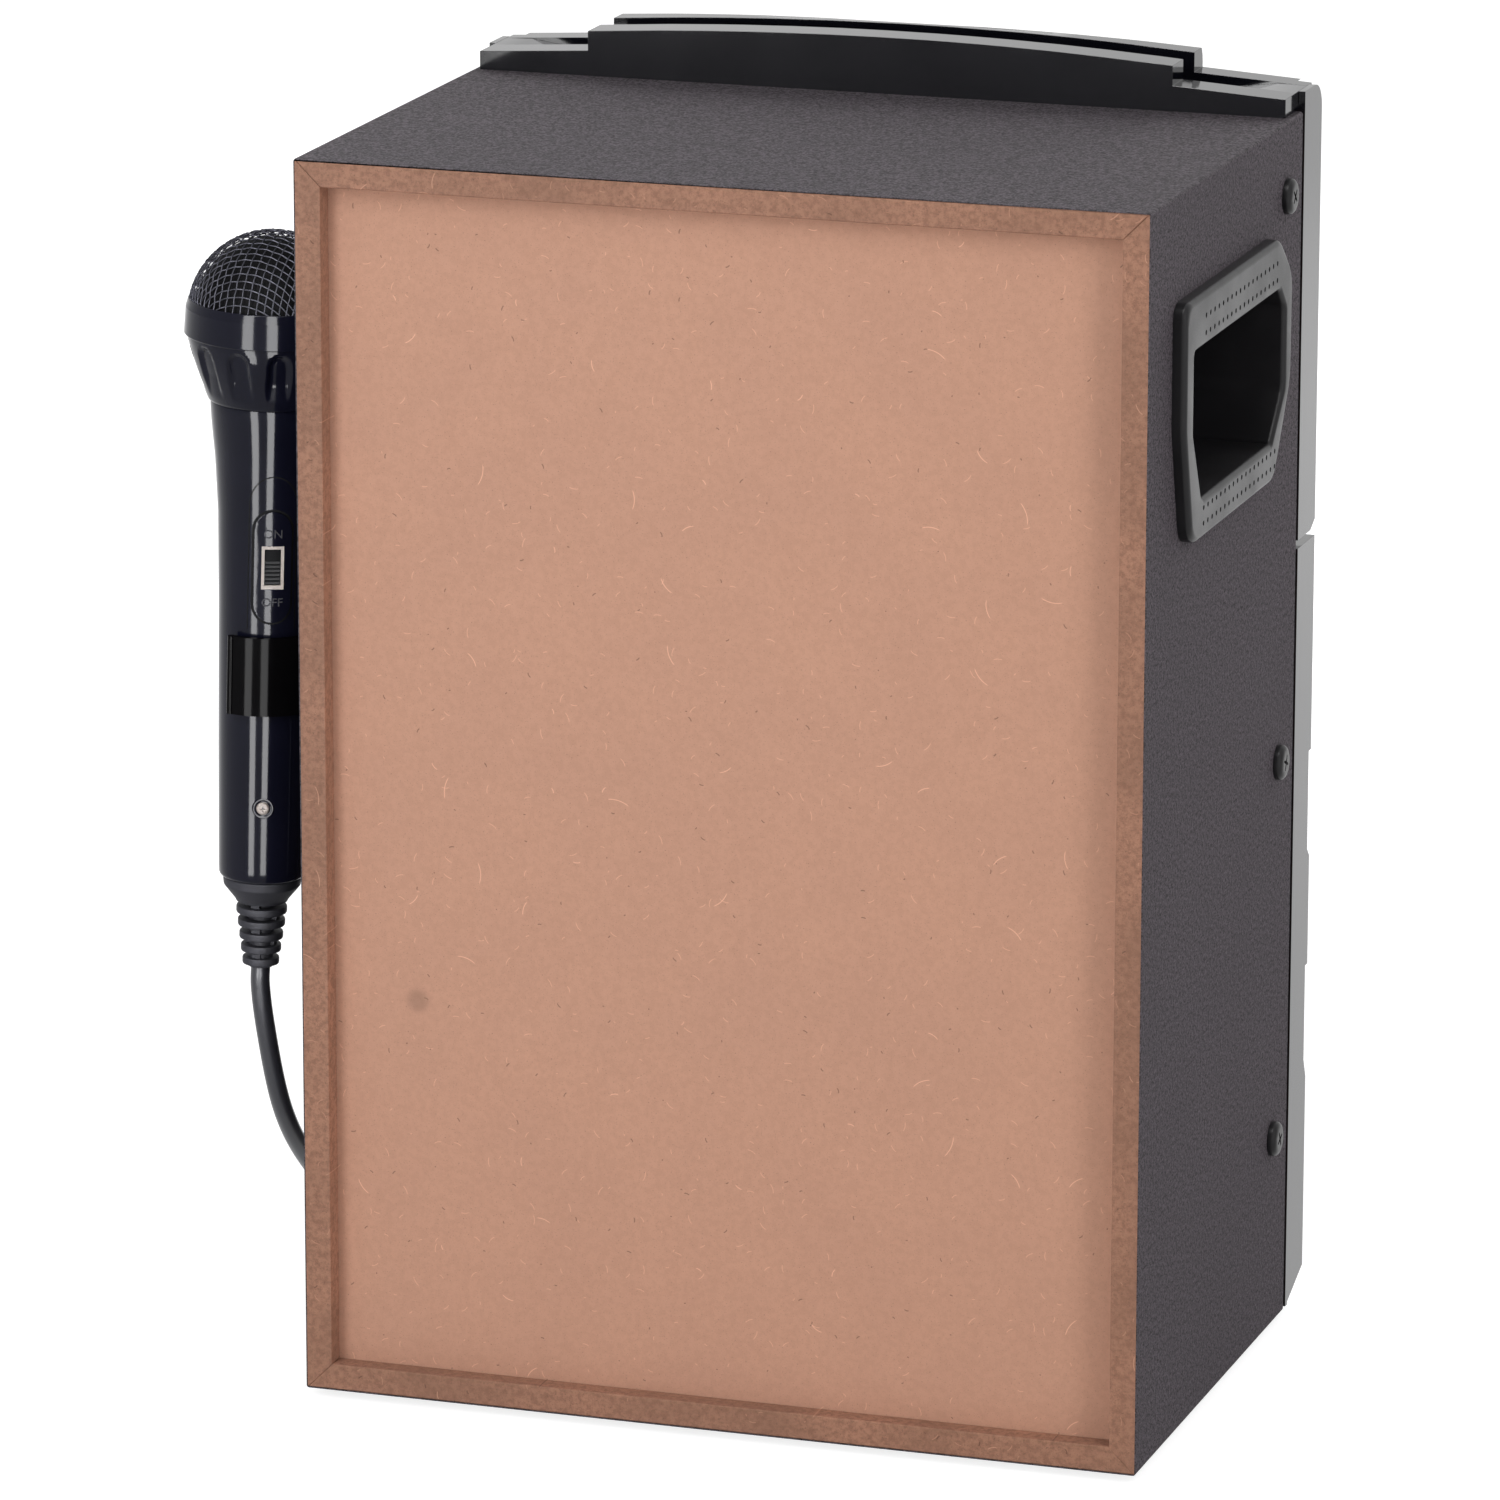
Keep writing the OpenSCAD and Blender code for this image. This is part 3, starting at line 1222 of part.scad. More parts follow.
function lerp(a, b, t) = a + (b - a) * t;
function smooth(t) = t * t * (3 - 2 * t);
function clamp01(t) = max(0, min(1, t));

// A curve through the route's points
function spline(p, i, t) = let (a = p[max(i - 1, 0)], b = p[i], c = p[i + 1], d = p[min(i + 2, len(p) - 1)])
    0.5 * (2 * b + (c - a) * t + (2 * a - 5 * b + 4 * c - d) * t * t + (3 * b - a - 3 * c + d) * t * t * t);
function curve(p, steps) = concat(
    [for (i = [0:len(p) - 2], k = [0:steps - 1]) spline(p, i, k / steps)], [p[len(p) - 1]]);

function unit(v) = v / norm(v);
function heading(p, i) = unit(p[min(i + 1, len(p) - 1)] - p[max(i - 1, 0)]);
// A side direction that stays steady along a route whose tangent never lies along `up`
function ring(p, i, r, sides, up) = let (
    d = heading(p, i), s = unit(cross(d, up)), n = cross(s, d))
    [for (k = [0:sides - 1]) let (a = 360 * (k + 0.5) / sides) p[i] + r * (cos(a) * s + sin(a) * n)];

module sweep(p, r, sides, up) {
    n = len(p);
    points = [for (i = [0:n - 1]) each ring(p, i, r, sides, up)];
    sides_faces = [for (i = [0:n - 2], k = [0:sides - 1]) let (
        a = i * sides + k, b = i * sides + (k + 1) % sides)
        each [[a, b, b + sides], [a, b + sides, a + sides]]];
    last = (n - 1) * sides;
    caps = [for (k = [1:sides - 2]) each [[0, k + 1, k], [last, last + k, last + k + 1]]];
    polyhedron(points, concat(sides_faces, caps), convexity = 10);
}

module mic_cord() color([0.10, 0.11, 0.14])
    sweep(curve(cord_route, 3), cord_r, 10, [1, 0, 0]);

// The coil spirals in on the floor, climbs and spirals out on top of itself
coil_rings = 24;
function coil_radius(t) = coil_in_r + coil_pitch * abs(t - coil_half_loops);
function coil_height(t) = cord_floor + coil_pitch * smooth(clamp01((t - coil_half_loops + 0.25) / 0.5));
function coil_point(t) = concat(coil_mid, 0) + [
    coil_radius(t) * cos(-360 * t), coil_radius(t) * sin(-360 * t), coil_height(t)];
coil_end = coil_point(coil_loops);
coil_turns = [for (i = [0:coil_loops * coil_rings]) coil_point(i / coil_rings)];
coil_path = concat(
    [cord_route[len(cord_route) - 1]], coil_turns,
    [for (i = [1:4]) [coil_end[0] - (coil_tail - cord_d) * i / 4, coil_end[1],
        lerp(coil_end[2], plug_z, smooth(i / 4))]],
    [[coil_end[0] - coil_tail, coil_end[1], plug_z]]);

module mic_cord_coil() color([0.10, 0.11, 0.14]) sweep(coil_path, cord_r, 6, [0, 0, 1]);

// Least gap between turns, on points at least a third of a loop apart
coil_gap = min([for (i = [0:len(coil_turns) - 9], j = [i + 8:len(coil_turns) - 1])
    norm(coil_turns[i] - coil_turns[j])]) - cord_d;
echo(coil_gap = coil_gap);

module mic_plug() color([0.55, 0.56, 0.58])
    translate([coil_end[0] - coil_tail, coil_end[1], plug_z]) rotate([0, -90, 0]) rotate_extrude() polygon([
        [0, 0], [4.6, 0], [5.4, 12], [plug_body_r, 13], [plug_body_r, 38], [5, 39], [plug_r, 39.5],
        [plug_r, 63], [2.4, 64.5], [3, 66.5], [1, 69.5], [0, 69.5]]);

// ---------- all pieces ----------

side_panel_left();
side_panel_right();
top_panel();
bottom_panel();
vinyl_wrap();
back_panel();
rubber_feet();
grip_cup_left();
grip_cup_right();
fascia_screws();
upper_fascia();
lower_fascia();
tablet_cradle();
screen_lens();
lcd_module();
speaker_grilles();
light_rings();
speaker_frames();
speaker_surrounds();
speaker_cone_left();
speaker_cone_right();
loader_bracket();
loader_chassis();
disc_tray();
tray_front();
tray_gear();
loader_motor();
motor_pulley();
drive_belt();
traverse_frame();
traverse_motors();
turntable();
pickup_sled();
guide_rods();
lead_screw();
clamp_bridge();
clamp_puck();
knob_mic();
knob_echo();
knob_music();
potentiometers();
previous_button();
play_button();
next_button();
eject_button();
power_button();
control_board();
socket_board();
main_board();
mic_clip();
mic_handle();
mic_collar();
mic_grille();
mic_capsule();
mic_switch_plate();
mic_switch();
mic_relief();
mic_cord();
mic_cord_coil();
mic_plug();
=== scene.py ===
"""A karaoke machine with a disc tray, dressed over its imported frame.

Sizes in the classes are millimetres in the frame's axes: x runs to the right as seen from the front, y to the
back and z up, with zero in the middle of the box's underside. The helpers turn them into Blender's metres.
"""

from __future__ import annotations

import json
import logging
import math
from collections.abc import Callable, Iterable, Sequence
from dataclasses import dataclass
from enum import Enum

import bmesh
import bpy
from mathutils import Matrix, Vector

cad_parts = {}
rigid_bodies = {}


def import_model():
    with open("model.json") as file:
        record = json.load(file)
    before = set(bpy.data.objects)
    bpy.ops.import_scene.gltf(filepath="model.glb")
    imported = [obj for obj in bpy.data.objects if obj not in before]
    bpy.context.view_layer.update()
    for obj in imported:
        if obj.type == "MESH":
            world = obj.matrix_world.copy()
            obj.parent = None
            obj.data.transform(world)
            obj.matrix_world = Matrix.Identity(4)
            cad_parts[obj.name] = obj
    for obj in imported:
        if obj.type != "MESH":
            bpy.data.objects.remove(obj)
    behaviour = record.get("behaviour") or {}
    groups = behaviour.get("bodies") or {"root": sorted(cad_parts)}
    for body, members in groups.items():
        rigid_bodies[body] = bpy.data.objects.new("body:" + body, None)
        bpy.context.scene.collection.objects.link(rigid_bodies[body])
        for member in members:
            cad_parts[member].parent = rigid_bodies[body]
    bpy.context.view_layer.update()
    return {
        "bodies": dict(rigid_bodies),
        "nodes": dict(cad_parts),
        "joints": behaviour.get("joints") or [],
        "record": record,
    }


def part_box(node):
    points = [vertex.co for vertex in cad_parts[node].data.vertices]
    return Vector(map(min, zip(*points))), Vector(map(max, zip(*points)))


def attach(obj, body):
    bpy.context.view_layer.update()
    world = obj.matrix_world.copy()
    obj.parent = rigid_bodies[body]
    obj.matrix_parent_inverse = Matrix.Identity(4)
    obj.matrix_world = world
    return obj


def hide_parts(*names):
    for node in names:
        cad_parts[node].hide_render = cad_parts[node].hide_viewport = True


LOG = logging.getLogger("karaoke")
MM = 0.001
Point = tuple[float, float]
Colour = tuple[float, float, float, float]


# ---------- shader hands ----------


def seen(red: int, green: int, blue: int) -> Colour:
    """Turns a colour as a photograph shows it into the shader's linear one.

    Args:
        red: Red, from 0 to 255.
        green: Green, from 0 to 255.
        blue: Blue, from 0 to 255.

    Returns:
        The linear colour with an alpha of 1.
    """
    part = [v / 255 for v in (red, green, blue)]
    line = [v / 12.92 if v <= 0.04045 else ((v + 0.055) / 1.055) ** 2.4 for v in part]
    return (*line, 1.0)


def toned(colour: Sequence[int], factor: float, lift: int = 0) -> Colour:
    """Returns a seen colour made lighter or darker, as the shader's linear one."""
    return seen(*[min(255, int(c * factor) + lift) for c in colour])


class Wires:
    """Places and joins the nodes of one tree."""

    def __init__(self, tree: bpy.types.NodeTree) -> None:
        """Takes the tree to work in."""
        self.tree = tree

    def add(self, kind: str, values: dict | None = None, **settings: object) -> bpy.types.Node:
        """Adds a node.

        Args:
            kind: The node's type, without its ShaderNode prefix.
            values: Values or sockets for its inputs, by name or number.
            settings: Its properties.

        Returns:
            The node.
        """
        node = self.tree.nodes.new("ShaderNode" + kind)
        for name, value in settings.items():
            setattr(node, name, value)
        for name, value in (values or {}).items():
            self.feed(node.inputs[name], value)
        return node

    def feed(self, socket: bpy.types.NodeSocket, value: object) -> None:
        """Sets an input, or links it where the value is an output."""
        if isinstance(value, bpy.types.NodeSocket):
            self.tree.links.new(value, socket)
        else:
            socket.default_value = value

    def sum(self, operation: str, first: object, second: object = 0.5, third: object = 0.5,
            ) -> bpy.types.NodeSocket:
        """Returns the result of a Math node."""
        return self.add("Math", {0: first, 1: second, 2: third}, operation=operation).outputs[0]

    def step(self, value: object, low: float, high: float, to_low: float = 0.0, to_high: float = 1.0,
             ) -> bpy.types.NodeSocket:
        """Returns a value carried smoothly from one range to another."""
        sizes = {"Value": value, "From Min": low, "From Max": high, "To Min": to_low, "To Max": to_high}
        return self.add("MapRange", sizes, interpolation_type="SMOOTHSTEP").outputs[0]

    def blend(self, share: object, first: object, second: object, kind: str = "MIX") -> bpy.types.NodeSocket:
        """Returns two colours mixed."""
        node = self.add("Mix", data_type="RGBA", blend_type=kind)
        self.feed(node.inputs[0], share)
        self.feed(node.inputs[6], first)
        self.feed(node.inputs[7], second)
        return node.outputs[2]

    def noise(self, vector: object, size: float, detail: float = 3.0, rough: float = 0.55,
              ) -> bpy.types.NodeSocket:
        """Returns a noise whose features have about the given size in millimetres."""
        values = {"Vector": vector, "Scale": 1 / (size * MM), "Detail": detail, "Roughness": rough}
        return self.add("TexNoise", values).outputs[0]


def effect(name: str, inputs: dict[str, tuple[str, object]], outputs: Sequence[str],
           build: Callable[[Wires, bpy.types.Node, bpy.types.Node], None]) -> bpy.types.NodeTree:
    """Makes a shader node group once.

    Args:
        name: The group's name.
        inputs: For each input its kind of socket, without NodeSocket, and its first value.
        outputs: The names of its outputs, all single values.
        build: Fills the tree, given its wires, its input node and its output node.

    Returns:
        The group.
    """
    if name in bpy.data.node_groups:
        return bpy.data.node_groups[name]
    tree = bpy.data.node_groups.new(name, "ShaderNodeTree")
    for label, (kind, value) in inputs.items():
        socket = tree.interface.new_socket(label, in_out="INPUT", socket_type="NodeSocket" + kind)
        if value is not None:
            socket.default_value = value
    for label in outputs:
        tree.interface.new_socket(label, in_out="OUTPUT", socket_type="NodeSocketFloat")
    wires = Wires(tree)
    build(wires, tree.nodes.new("NodeGroupInput"), tree.nodes.new("NodeGroupOutput"))
    return tree


def flecks_effect() -> bpy.types.NodeTree:
    """Short bent fibres strewn over a plane, with a random turn and length in each cell."""

    def build(w: Wires, given: bpy.types.Node, made: bpy.types.Node) -> None:
        """Measures each point against its cell's bent fibre."""
        cells = w.add("TexVoronoi", {"Vector": given.outputs["Vector"], "Scale": given.outputs["Scale"]},
                      voronoi_dimensions="2D", feature="F1")
        chance = w.add("SeparateColor", {0: cells.outputs["Color"]})
        away = w.add("VectorMath", {0: given.outputs["Vector"], 1: cells.outputs["Position"]},
                     operation="SUBTRACT")
        angle = w.sum("MULTIPLY", chance.outputs[0], math.tau)
        turn = w.add("VectorRotate", {"Vector": away.outputs[0], "Angle": angle}, rotation_type="Z_AXIS")
        parts = w.add("SeparateXYZ", {0: turn.outputs[0]})
        share = w.sum("MULTIPLY_ADD", chance.outputs[1], 0.8, 0.2)
        length = w.sum("MULTIPLY", given.outputs["Length"], share)
        along = w.sum("DIVIDE", parts.outputs[0], length)
        bow = w.sum("MULTIPLY", w.sum("MULTIPLY", along, along), w.sum("MULTIPLY", length, 0.22))
        across = w.sum("ABSOLUTE", w.sum("SUBTRACT", parts.outputs[1], bow))
        thin = w.sum("SUBTRACT", 1.0, w.sum("DIVIDE", across, given.outputs["Width"]))
        short = w.sum("SUBTRACT", 1.0, w.sum("ABSOLUTE", along))
        there = w.sum("LESS_THAN", chance.outputs[2], given.outputs["Share"])
        mask = w.sum("MULTIPLY", w.step(thin, 0.0, 0.7), w.step(short, 0.0, 0.3))
        w.feed(made.inputs["Mask"], w.sum("MULTIPLY", mask, there))

    return effect("fibre_flecks", {
        "Vector": ("Vector", None), "Scale": ("Float", 100.0), "Length": ("Float", 0.002),
        "Width": ("Float", 0.0001), "Share": ("Float", 0.5)}, ["Mask"], build)


def grain_effect() -> bpy.types.NodeTree:
    """Fine grain of two sizes, as a tone about 0.5 and a height."""

    def build(w: Wires, given: bpy.types.Node, made: bpy.types.Node) -> None:
        """Mixes the two sizes; the fine one alone is the height."""

        def layer(scale: str, detail: float) -> bpy.types.NodeSocket:
            """Returns one size of the grain."""
            values = {"Vector": given.outputs["Vector"], "Scale": given.outputs[scale], "Detail": detail}
            return w.add("TexNoise", values).outputs[0]

        fine, broad = layer("Fine", 2.0), layer("Broad", 3.0)
        mixed = w.sum("ADD", w.sum("MULTIPLY", fine, given.outputs["Share"]),
                      w.sum("MULTIPLY", broad, w.sum("SUBTRACT", 1.0, given.outputs["Share"])))
        w.feed(made.inputs["Tone"], mixed)
        w.feed(made.inputs["Height"], fine)

    return effect("surface_grain", {
        "Vector": ("Vector", None), "Fine": ("Float", 1500.0), "Broad": ("Float", 60.0),
        "Share": ("Float", 0.6)}, ["Tone", "Height"], build)


# ---------- finishes ----------


class Grade(Enum):
    """How smooth a moulded surface is."""

    GLOSS = 0.09
    SATIN = 0.34
    MATTE = 0.62


@dataclass(frozen=True)
class Finish:
    """What every finish has: a name, a colour as seen and the record's slot that it stands for."""

    name: str
    colour: tuple[int, int, int]
    slot: str

    def dress(self, w: Wires, surface: bpy.types.Node, where: bpy.types.NodeSocket) -> None:
        """Fills in the surface; each kind of finish has its own way."""
        raise NotImplementedError

    def made(self) -> bpy.types.Material:
        """Returns the material, made once."""
        if self.name in bpy.data.materials:
            return bpy.data.materials[self.name]
        material = bpy.data.materials.new(self.name)
        material.use_nodes = True
        material.node_tree.nodes.clear()
        w = Wires(material.node_tree)
        surface = w.add("BsdfPrincipled")
        w.add("OutputMaterial", {0: surface.outputs[0]})
        where = w.add("TexCoord").outputs["Object"]
        material.diffuse_color = seen(*self.colour)
        self.dress(w, surface, where)
        return material


@dataclass(frozen=True)
class Moulded(Finish):
    """Moulded plastic with a faint orange peel and faint smears in its gloss."""

    grade: Grade = Grade.SATIN
    shine: float = 0.5
    peel: float = 0.02

    def dress(self, w: Wires, surface: bpy.types.Node, where: bpy.types.NodeSocket) -> None:
        """Colour varies by a hair; smears and peel change the gloss."""
        grain = w.add("Group", node_tree=grain_effect())
        for name, value in {"Vector": where, "Fine": 2200.0, "Broad": 35.0, "Share": 0.35}.items():
            w.feed(grain.inputs[name], value)
        tone = w.step(grain.outputs["Tone"], 0.3, 0.7, 0.9, 1.1)
        grey = w.add("CombineXYZ", {0: tone, 1: tone, 2: tone}).outputs[0]
        base = w.blend(1.0, seen(*self.colour), grey, "MULTIPLY")
        w.feed(surface.inputs["Base Color"], base)
        low, high = self.grade.value * 0.85, self.grade.value * 1.2
        w.feed(surface.inputs["Roughness"], w.step(grain.outputs["Tone"], 0.35, 0.65, low, high))
        w.feed(surface.inputs["Specular IOR Level"], self.shine)
        bump = w.add("Bump", {"Strength": self.peel, "Distance": 0.0004, "Height": grain.outputs["Height"]})
        w.feed(surface.inputs["Normal"], bump.outputs[0])


@dataclass(frozen=True)
class Metal(Finish):
    """Rolled or plated metal, with a fine brushed grain along one axis."""

    rough: float = 0.3
    brushed: tuple[float, float, float] = (1.0, 1.0, 1.0)
    edge: float = 1.0

    def dress(self, w: Wires, surface: bpy.types.Node, where: bpy.types.NodeSocket) -> None:
        """The grain is a noise drawn out by the brushed factors."""
        drawn = w.add("Mapping", {"Vector": where, "Scale": self.brushed}).outputs[0]
        streaks = w.noise(drawn, 0.9, 4.0)
        clouds = w.noise(where, 14.0)
        base = w.blend(w.step(clouds, 0.35, 0.65), seen(*self.colour), toned(self.colour, 0.9))
        w.feed(surface.inputs["Base Color"], base)
        w.feed(surface.inputs["Metallic"], 1.0)
        w.feed(surface.inputs["Specular Tint"], (self.edge, self.edge, self.edge, 1.0))
        w.feed(surface.inputs["Roughness"], w.step(streaks, 0.3, 0.7, self.rough * 0.8, self.rough * 1.3))
        bump = w.add("Bump", {"Strength": 0.05, "Distance": 0.0002, "Height": streaks})
        w.feed(surface.inputs["Normal"], bump.outputs[0])


@dataclass(frozen=True)
class Rubber(Finish):
    """Rubber, foam or paper: a soft surface with a dusty sheen."""

    rough: float = 0.7
    grain: float = 0.3
    size: float = 0.5

    def dress(self, w: Wires, surface: bpy.types.Node, where: bpy.types.NodeSocket) -> None:
        """One noise roughens it, and a broad one dusts it."""
        fine, dust = w.noise(where, self.size), w.noise(where, 18.0)
        pale, top = toned(self.colour, 1.25, 6), min(1.0, self.rough * 1.1)
        w.feed(surface.inputs["Base Color"], w.blend(w.step(dust, 0.4, 0.75), seen(*self.colour), pale))
        w.feed(surface.inputs["Roughness"], w.step(dust, 0.3, 0.7, self.rough * 0.88, top))
        w.feed(surface.inputs["Specular IOR Level"], 0.35)
        bump = w.add("Bump", {"Strength": self.grain, "Distance": 0.0004, "Height": fine})
        w.feed(surface.inputs["Normal"], bump.outputs[0])


@dataclass(frozen=True)
class Fibreboard(Finish):
    """Raw board: clouds of tone, dark specks, and pale and dark hairs."""

    fuzz: float = 0.25
    sawn: bool = False
    stain: tuple[float, float, float] = (110.5, 88.0, 141.5)

    def dress(self, w: Wires, surface: bpy.types.Node, where: bpy.types.NodeSocket) -> None:
        """The hairs lie in the plane that shows at the back, x and z."""
        parts = w.add("SeparateXYZ", {0: where})
        flat = w.add("CombineXYZ", {0: parts.outputs[0], 1: parts.outputs[2]}).outputs[0]
        clouds = w.noise(where, 42.0, 4.0, 0.6)
        felt = w.noise(where, 2.4, 6.0, 0.75)
        grit = w.noise(where, 0.55, 2.0)

        def hairs(scale: float, length: float, width: float, share: float, shift: float,
                  ) -> bpy.types.NodeSocket:
            """Returns one kind of hair, its length and width in millimetres."""
            moved = w.add("Mapping", {"Vector": flat, "Location": (shift, shift, 0.0)}).outputs[0]
            group = w.add("Group", node_tree=flecks_effect())
            given = {"Vector": moved, "Scale": scale, "Length": length * MM, "Width": width * MM,
                     "Share": share}
            for name, value in given.items():
                w.feed(group.inputs[name], value)
            return group.outputs["Mask"]

        tint = self.colour
        dark, light = toned(tint, 0.90), toned(tint, 1.045)
        low, high = (dark, light) if self.sawn else (toned(tint, 0.992), toned(tint, 1.012))
        base = w.blend(w.step(clouds, 0.3, 0.7), low, high)
        base = w.blend(w.step(felt, 0.4, 0.62, 0.0, 0.75 if self.sawn else 0.3), base,
                       toned(tint, 0.8) if self.sawn else dark)
        base = w.blend(w.step(grit, 0.6, 0.74, 0.0, 0.55), base, toned(tint, 0.6))
        base = w.blend(w.sum("MULTIPLY", hairs(150.0, 2.0, 0.24, 0.3, 0.0), 0.5), base, toned(tint, 1.16, 8))
        base = w.blend(w.sum("MULTIPLY", hairs(95.0, 1.1, 0.3, 0.26, 0.013), 0.6), base, toned(tint, 0.5))
        base = w.blend(w.sum("MULTIPLY", hairs(36.0, 4.4, 0.26, 0.42, 0.031), 0.62), base,
                       toned(tint, 1.16, 14))
        stain = w.add("VectorMath", {0: where, 1: at_mm(*self.stain)}, operation="DISTANCE").outputs["Value"]
        base = w.blend(w.step(stain, 0.006, 0.0015, 0.0, 0.5), base, toned(tint, 0.72))
        w.feed(surface.inputs["Base Color"], base)
        w.feed(surface.inputs["Roughness"], w.step(felt, 0.3, 0.7, 0.78, 0.95))
        w.feed(surface.inputs["Specular IOR Level"], 0.1)
        height = w.sum("ADD", w.sum("MULTIPLY", felt, 0.7), w.sum("MULTIPLY", grit, 0.3))
        bump = w.add("Bump", {"Strength": self.fuzz, "Distance": 0.0006, "Height": height})
        w.feed(surface.inputs["Normal"], bump.outputs[0])


@dataclass(frozen=True)
class Wrap(Finish):
    """The pebbled film on the box, with a pale fleck on its high spots."""

    def dress(self, w: Wires, surface: bpy.types.Node, where: bpy.types.NodeSocket) -> None:
        """Two noises of a millimetre and less make the pebble."""
        grain = w.add("Group", node_tree=grain_effect())
        for name, value in {"Vector": where, "Fine": 1500.0, "Broad": 620.0, "Share": 0.6}.items():
            w.feed(grain.inputs[name], value)
        drift = w.noise(where, 60.0)
        base = w.blend(w.step(grain.outputs["Tone"], 0.38, 0.62), toned(self.colour, 0.66),
                       toned(self.colour, 1.34))
        base = w.blend(w.step(drift, 0.3, 0.7, 0.0, 0.12), base, toned(self.colour, 0.8))
        w.feed(surface.inputs["Base Color"], base)
        w.feed(surface.inputs["Roughness"], w.step(grain.outputs["Tone"], 0.35, 0.65, 0.8, 0.66))
        w.feed(surface.inputs["Specular IOR Level"], 0.06)
        bump = w.add("Bump", {"Strength": 0.35, "Distance": 0.0002, "Height": grain.outputs["Tone"]})
        w.feed(surface.inputs["Normal"], bump.outputs[0])


@dataclass(frozen=True)
class Circuit(Finish):
    """Solder mask with a maze of tracks under it."""

    def dress(self, w: Wires, surface: bpy.types.Node, where: bpy.types.NodeSocket) -> None:
        """The tracks are the edges of square cells."""
        cells = w.add("TexVoronoi", {"Vector": where, "Scale": 320.0, "Randomness": 0.5},
                      distance="CHEBYCHEV")
        track = w.step(cells.outputs["Distance"], 0.34, 0.42)
        w.feed(surface.inputs["Base Color"], w.blend(track, seen(*self.colour), toned(self.colour, 1.5, 10)))
        w.feed(surface.inputs["Roughness"], w.step(cells.outputs["Distance"], 0.2, 0.6, 0.3, 0.42))
        bump = w.add("Bump", {"Strength": 0.2, "Distance": 0.0001, "Height": track})
        w.feed(surface.inputs["Normal"], bump.outputs[0])


class Finishes:
    """Every finish on the machine."""

    BOARD = Fibreboard("panel_board", (193, 147, 123), "panel_fibreboard")
    EDGE = Fibreboard("sawn_board", (164, 120, 98), "raw_fibreboard", fuzz=0.8, sawn=True)
    WRAP = Wrap("grained_film", (69, 64, 68), "grained_wrap")
    FEET = Rubber("foot_rubber", (38, 38, 40), "rubber_black")
    CUP = Moulded("cup_moulding", (26, 25, 27), "cup_plastic", Grade.SATIN, 0.2, 0.04)
    SCREW = Moulded("black_screw", (22, 21, 23), "screw_black", Grade.SATIN, 0.22, 0.02)
    SHELL = Moulded("shell_gloss", (20, 20, 24), "gloss_black", Grade.GLOSS, 0.5, 0.006)
    CRADLE = Moulded("cradle_gloss", (12, 12, 18), "gloss_black", Grade.GLOSS, 0.4, 0.006)
    LENS = Moulded("smoked_lens", (9, 9, 11), "lens_black", Grade.GLOSS, 0.5, 0.0)
    DISPLAY = Moulded("display_off", (26, 29, 36), "display", Grade.SATIN, 0.4, 0.01)
    GRILLE = Moulded("grille_paint", (40, 40, 42), "grille_steel", Grade.SATIN, 0.5, 0.05)
    LIGHT = Moulded("ring_guide", (232, 236, 242), "light_guide", Grade.SATIN, 0.5, 0.01)
    BASKET = Metal("basket_steel", (96, 97, 100), "speaker_steel", 0.45)
    ROLL = Rubber("roll_rubber", (28, 28, 29), "surround_rubber", 0.55, 0.1)
    CONE = Rubber("pressed_paper", (38, 37, 38), "cone_paper", 0.85, 0.5, 0.8)
    STEEL = Metal("zinc_steel", (176, 178, 182), "sheet_steel", 0.35, (1.0, 0.12, 1.0))
    MECH = Moulded("loader_plastic", (34, 34, 36), "mech_black", Grade.MATTE, 0.4, 0.08)
    NYLON = Moulded("white_nylon", (226, 224, 214), "gear_white", Grade.SATIN, 0.4, 0.03)
    BELT = Rubber("drive_band", (22, 22, 23), "belt_rubber", 0.6, 0.1)
    ROD = Metal("ground_rod", (212, 213, 216), "rod_steel", 0.14, (1.0, 0.05, 1.0))
    SILVER = Moulded("silver_paint", (168, 170, 175), "silver_plastic", Grade.SATIN, 0.6, 0.02)
    RED = Moulded("red_button", (168, 24, 26), "power_red", Grade.GLOSS, 0.5, 0.01)
    BOARD_GREEN = Circuit("solder_mask", (24, 86, 52), "circuit_green")
    SOCKET = Moulded("socket_plastic", (30, 30, 33), "socket_black", Grade.SATIN, 0.45, 0.03)
    MIC = Moulded("handle_gloss", (20, 21, 36), "mic_plastic", Grade.GLOSS, 0.13, 0.004)
    # Painted shade: a near-black matte finish for thin sheets laid where the gap round the switch cover and
    # the cover's seam would lie in shade.
    PAINTED_SHADE = Moulded("shadow_gap", (7, 7, 9), "mic_plastic", Grade.MATTE, 0.05, 0.0)
    SLIDER = Moulded("slider_black", (15, 15, 17), "mic_plastic", Grade.MATTE, 0.2, 0.03)
    FRAME = Moulded("switch_frame", (186, 174, 166), "mic_silver", Grade.SATIN, 0.3, 0.01)
    MIC_SOFT = Moulded("relief_plastic", (34, 34, 42), "mic_plastic", Grade.MATTE, 0.2, 0.05)
    BAND = Moulded("band_gloss", (12, 11, 13), "gloss_black", Grade.GLOSS, 0.03, 0.004)
    MESH = Metal("painted_wire", (56, 56, 62), "mic_mesh", 0.5, edge=0.12)
    FOAM = Moulded("mesh_foam", (7, 7, 9), "mic_mesh", Grade.MATTE, 0.04, 0.4)
    CHROME = Metal("bright_plate", (214, 208, 204), "mic_silver", 0.2)
    CORD = Moulded("cord_skin", (34, 35, 44), "cord_rubber", Grade.SATIN, 0.5, 0.04)
    MARK = Moulded("pale_print", (206, 207, 210), "silver_plastic", Grade.MATTE, 0.3, 0.0)
    SIGN = Moulded("dark_print", (24, 24, 27), "socket_black", Grade.MATTE, 0.3, 0.0)


# ---------- workshop ----------


def at_mm(x: float, y: float, z: float) -> Vector:
    """Returns a place given in millimetres, in metres."""
    return Vector((x, y, z)) * MM


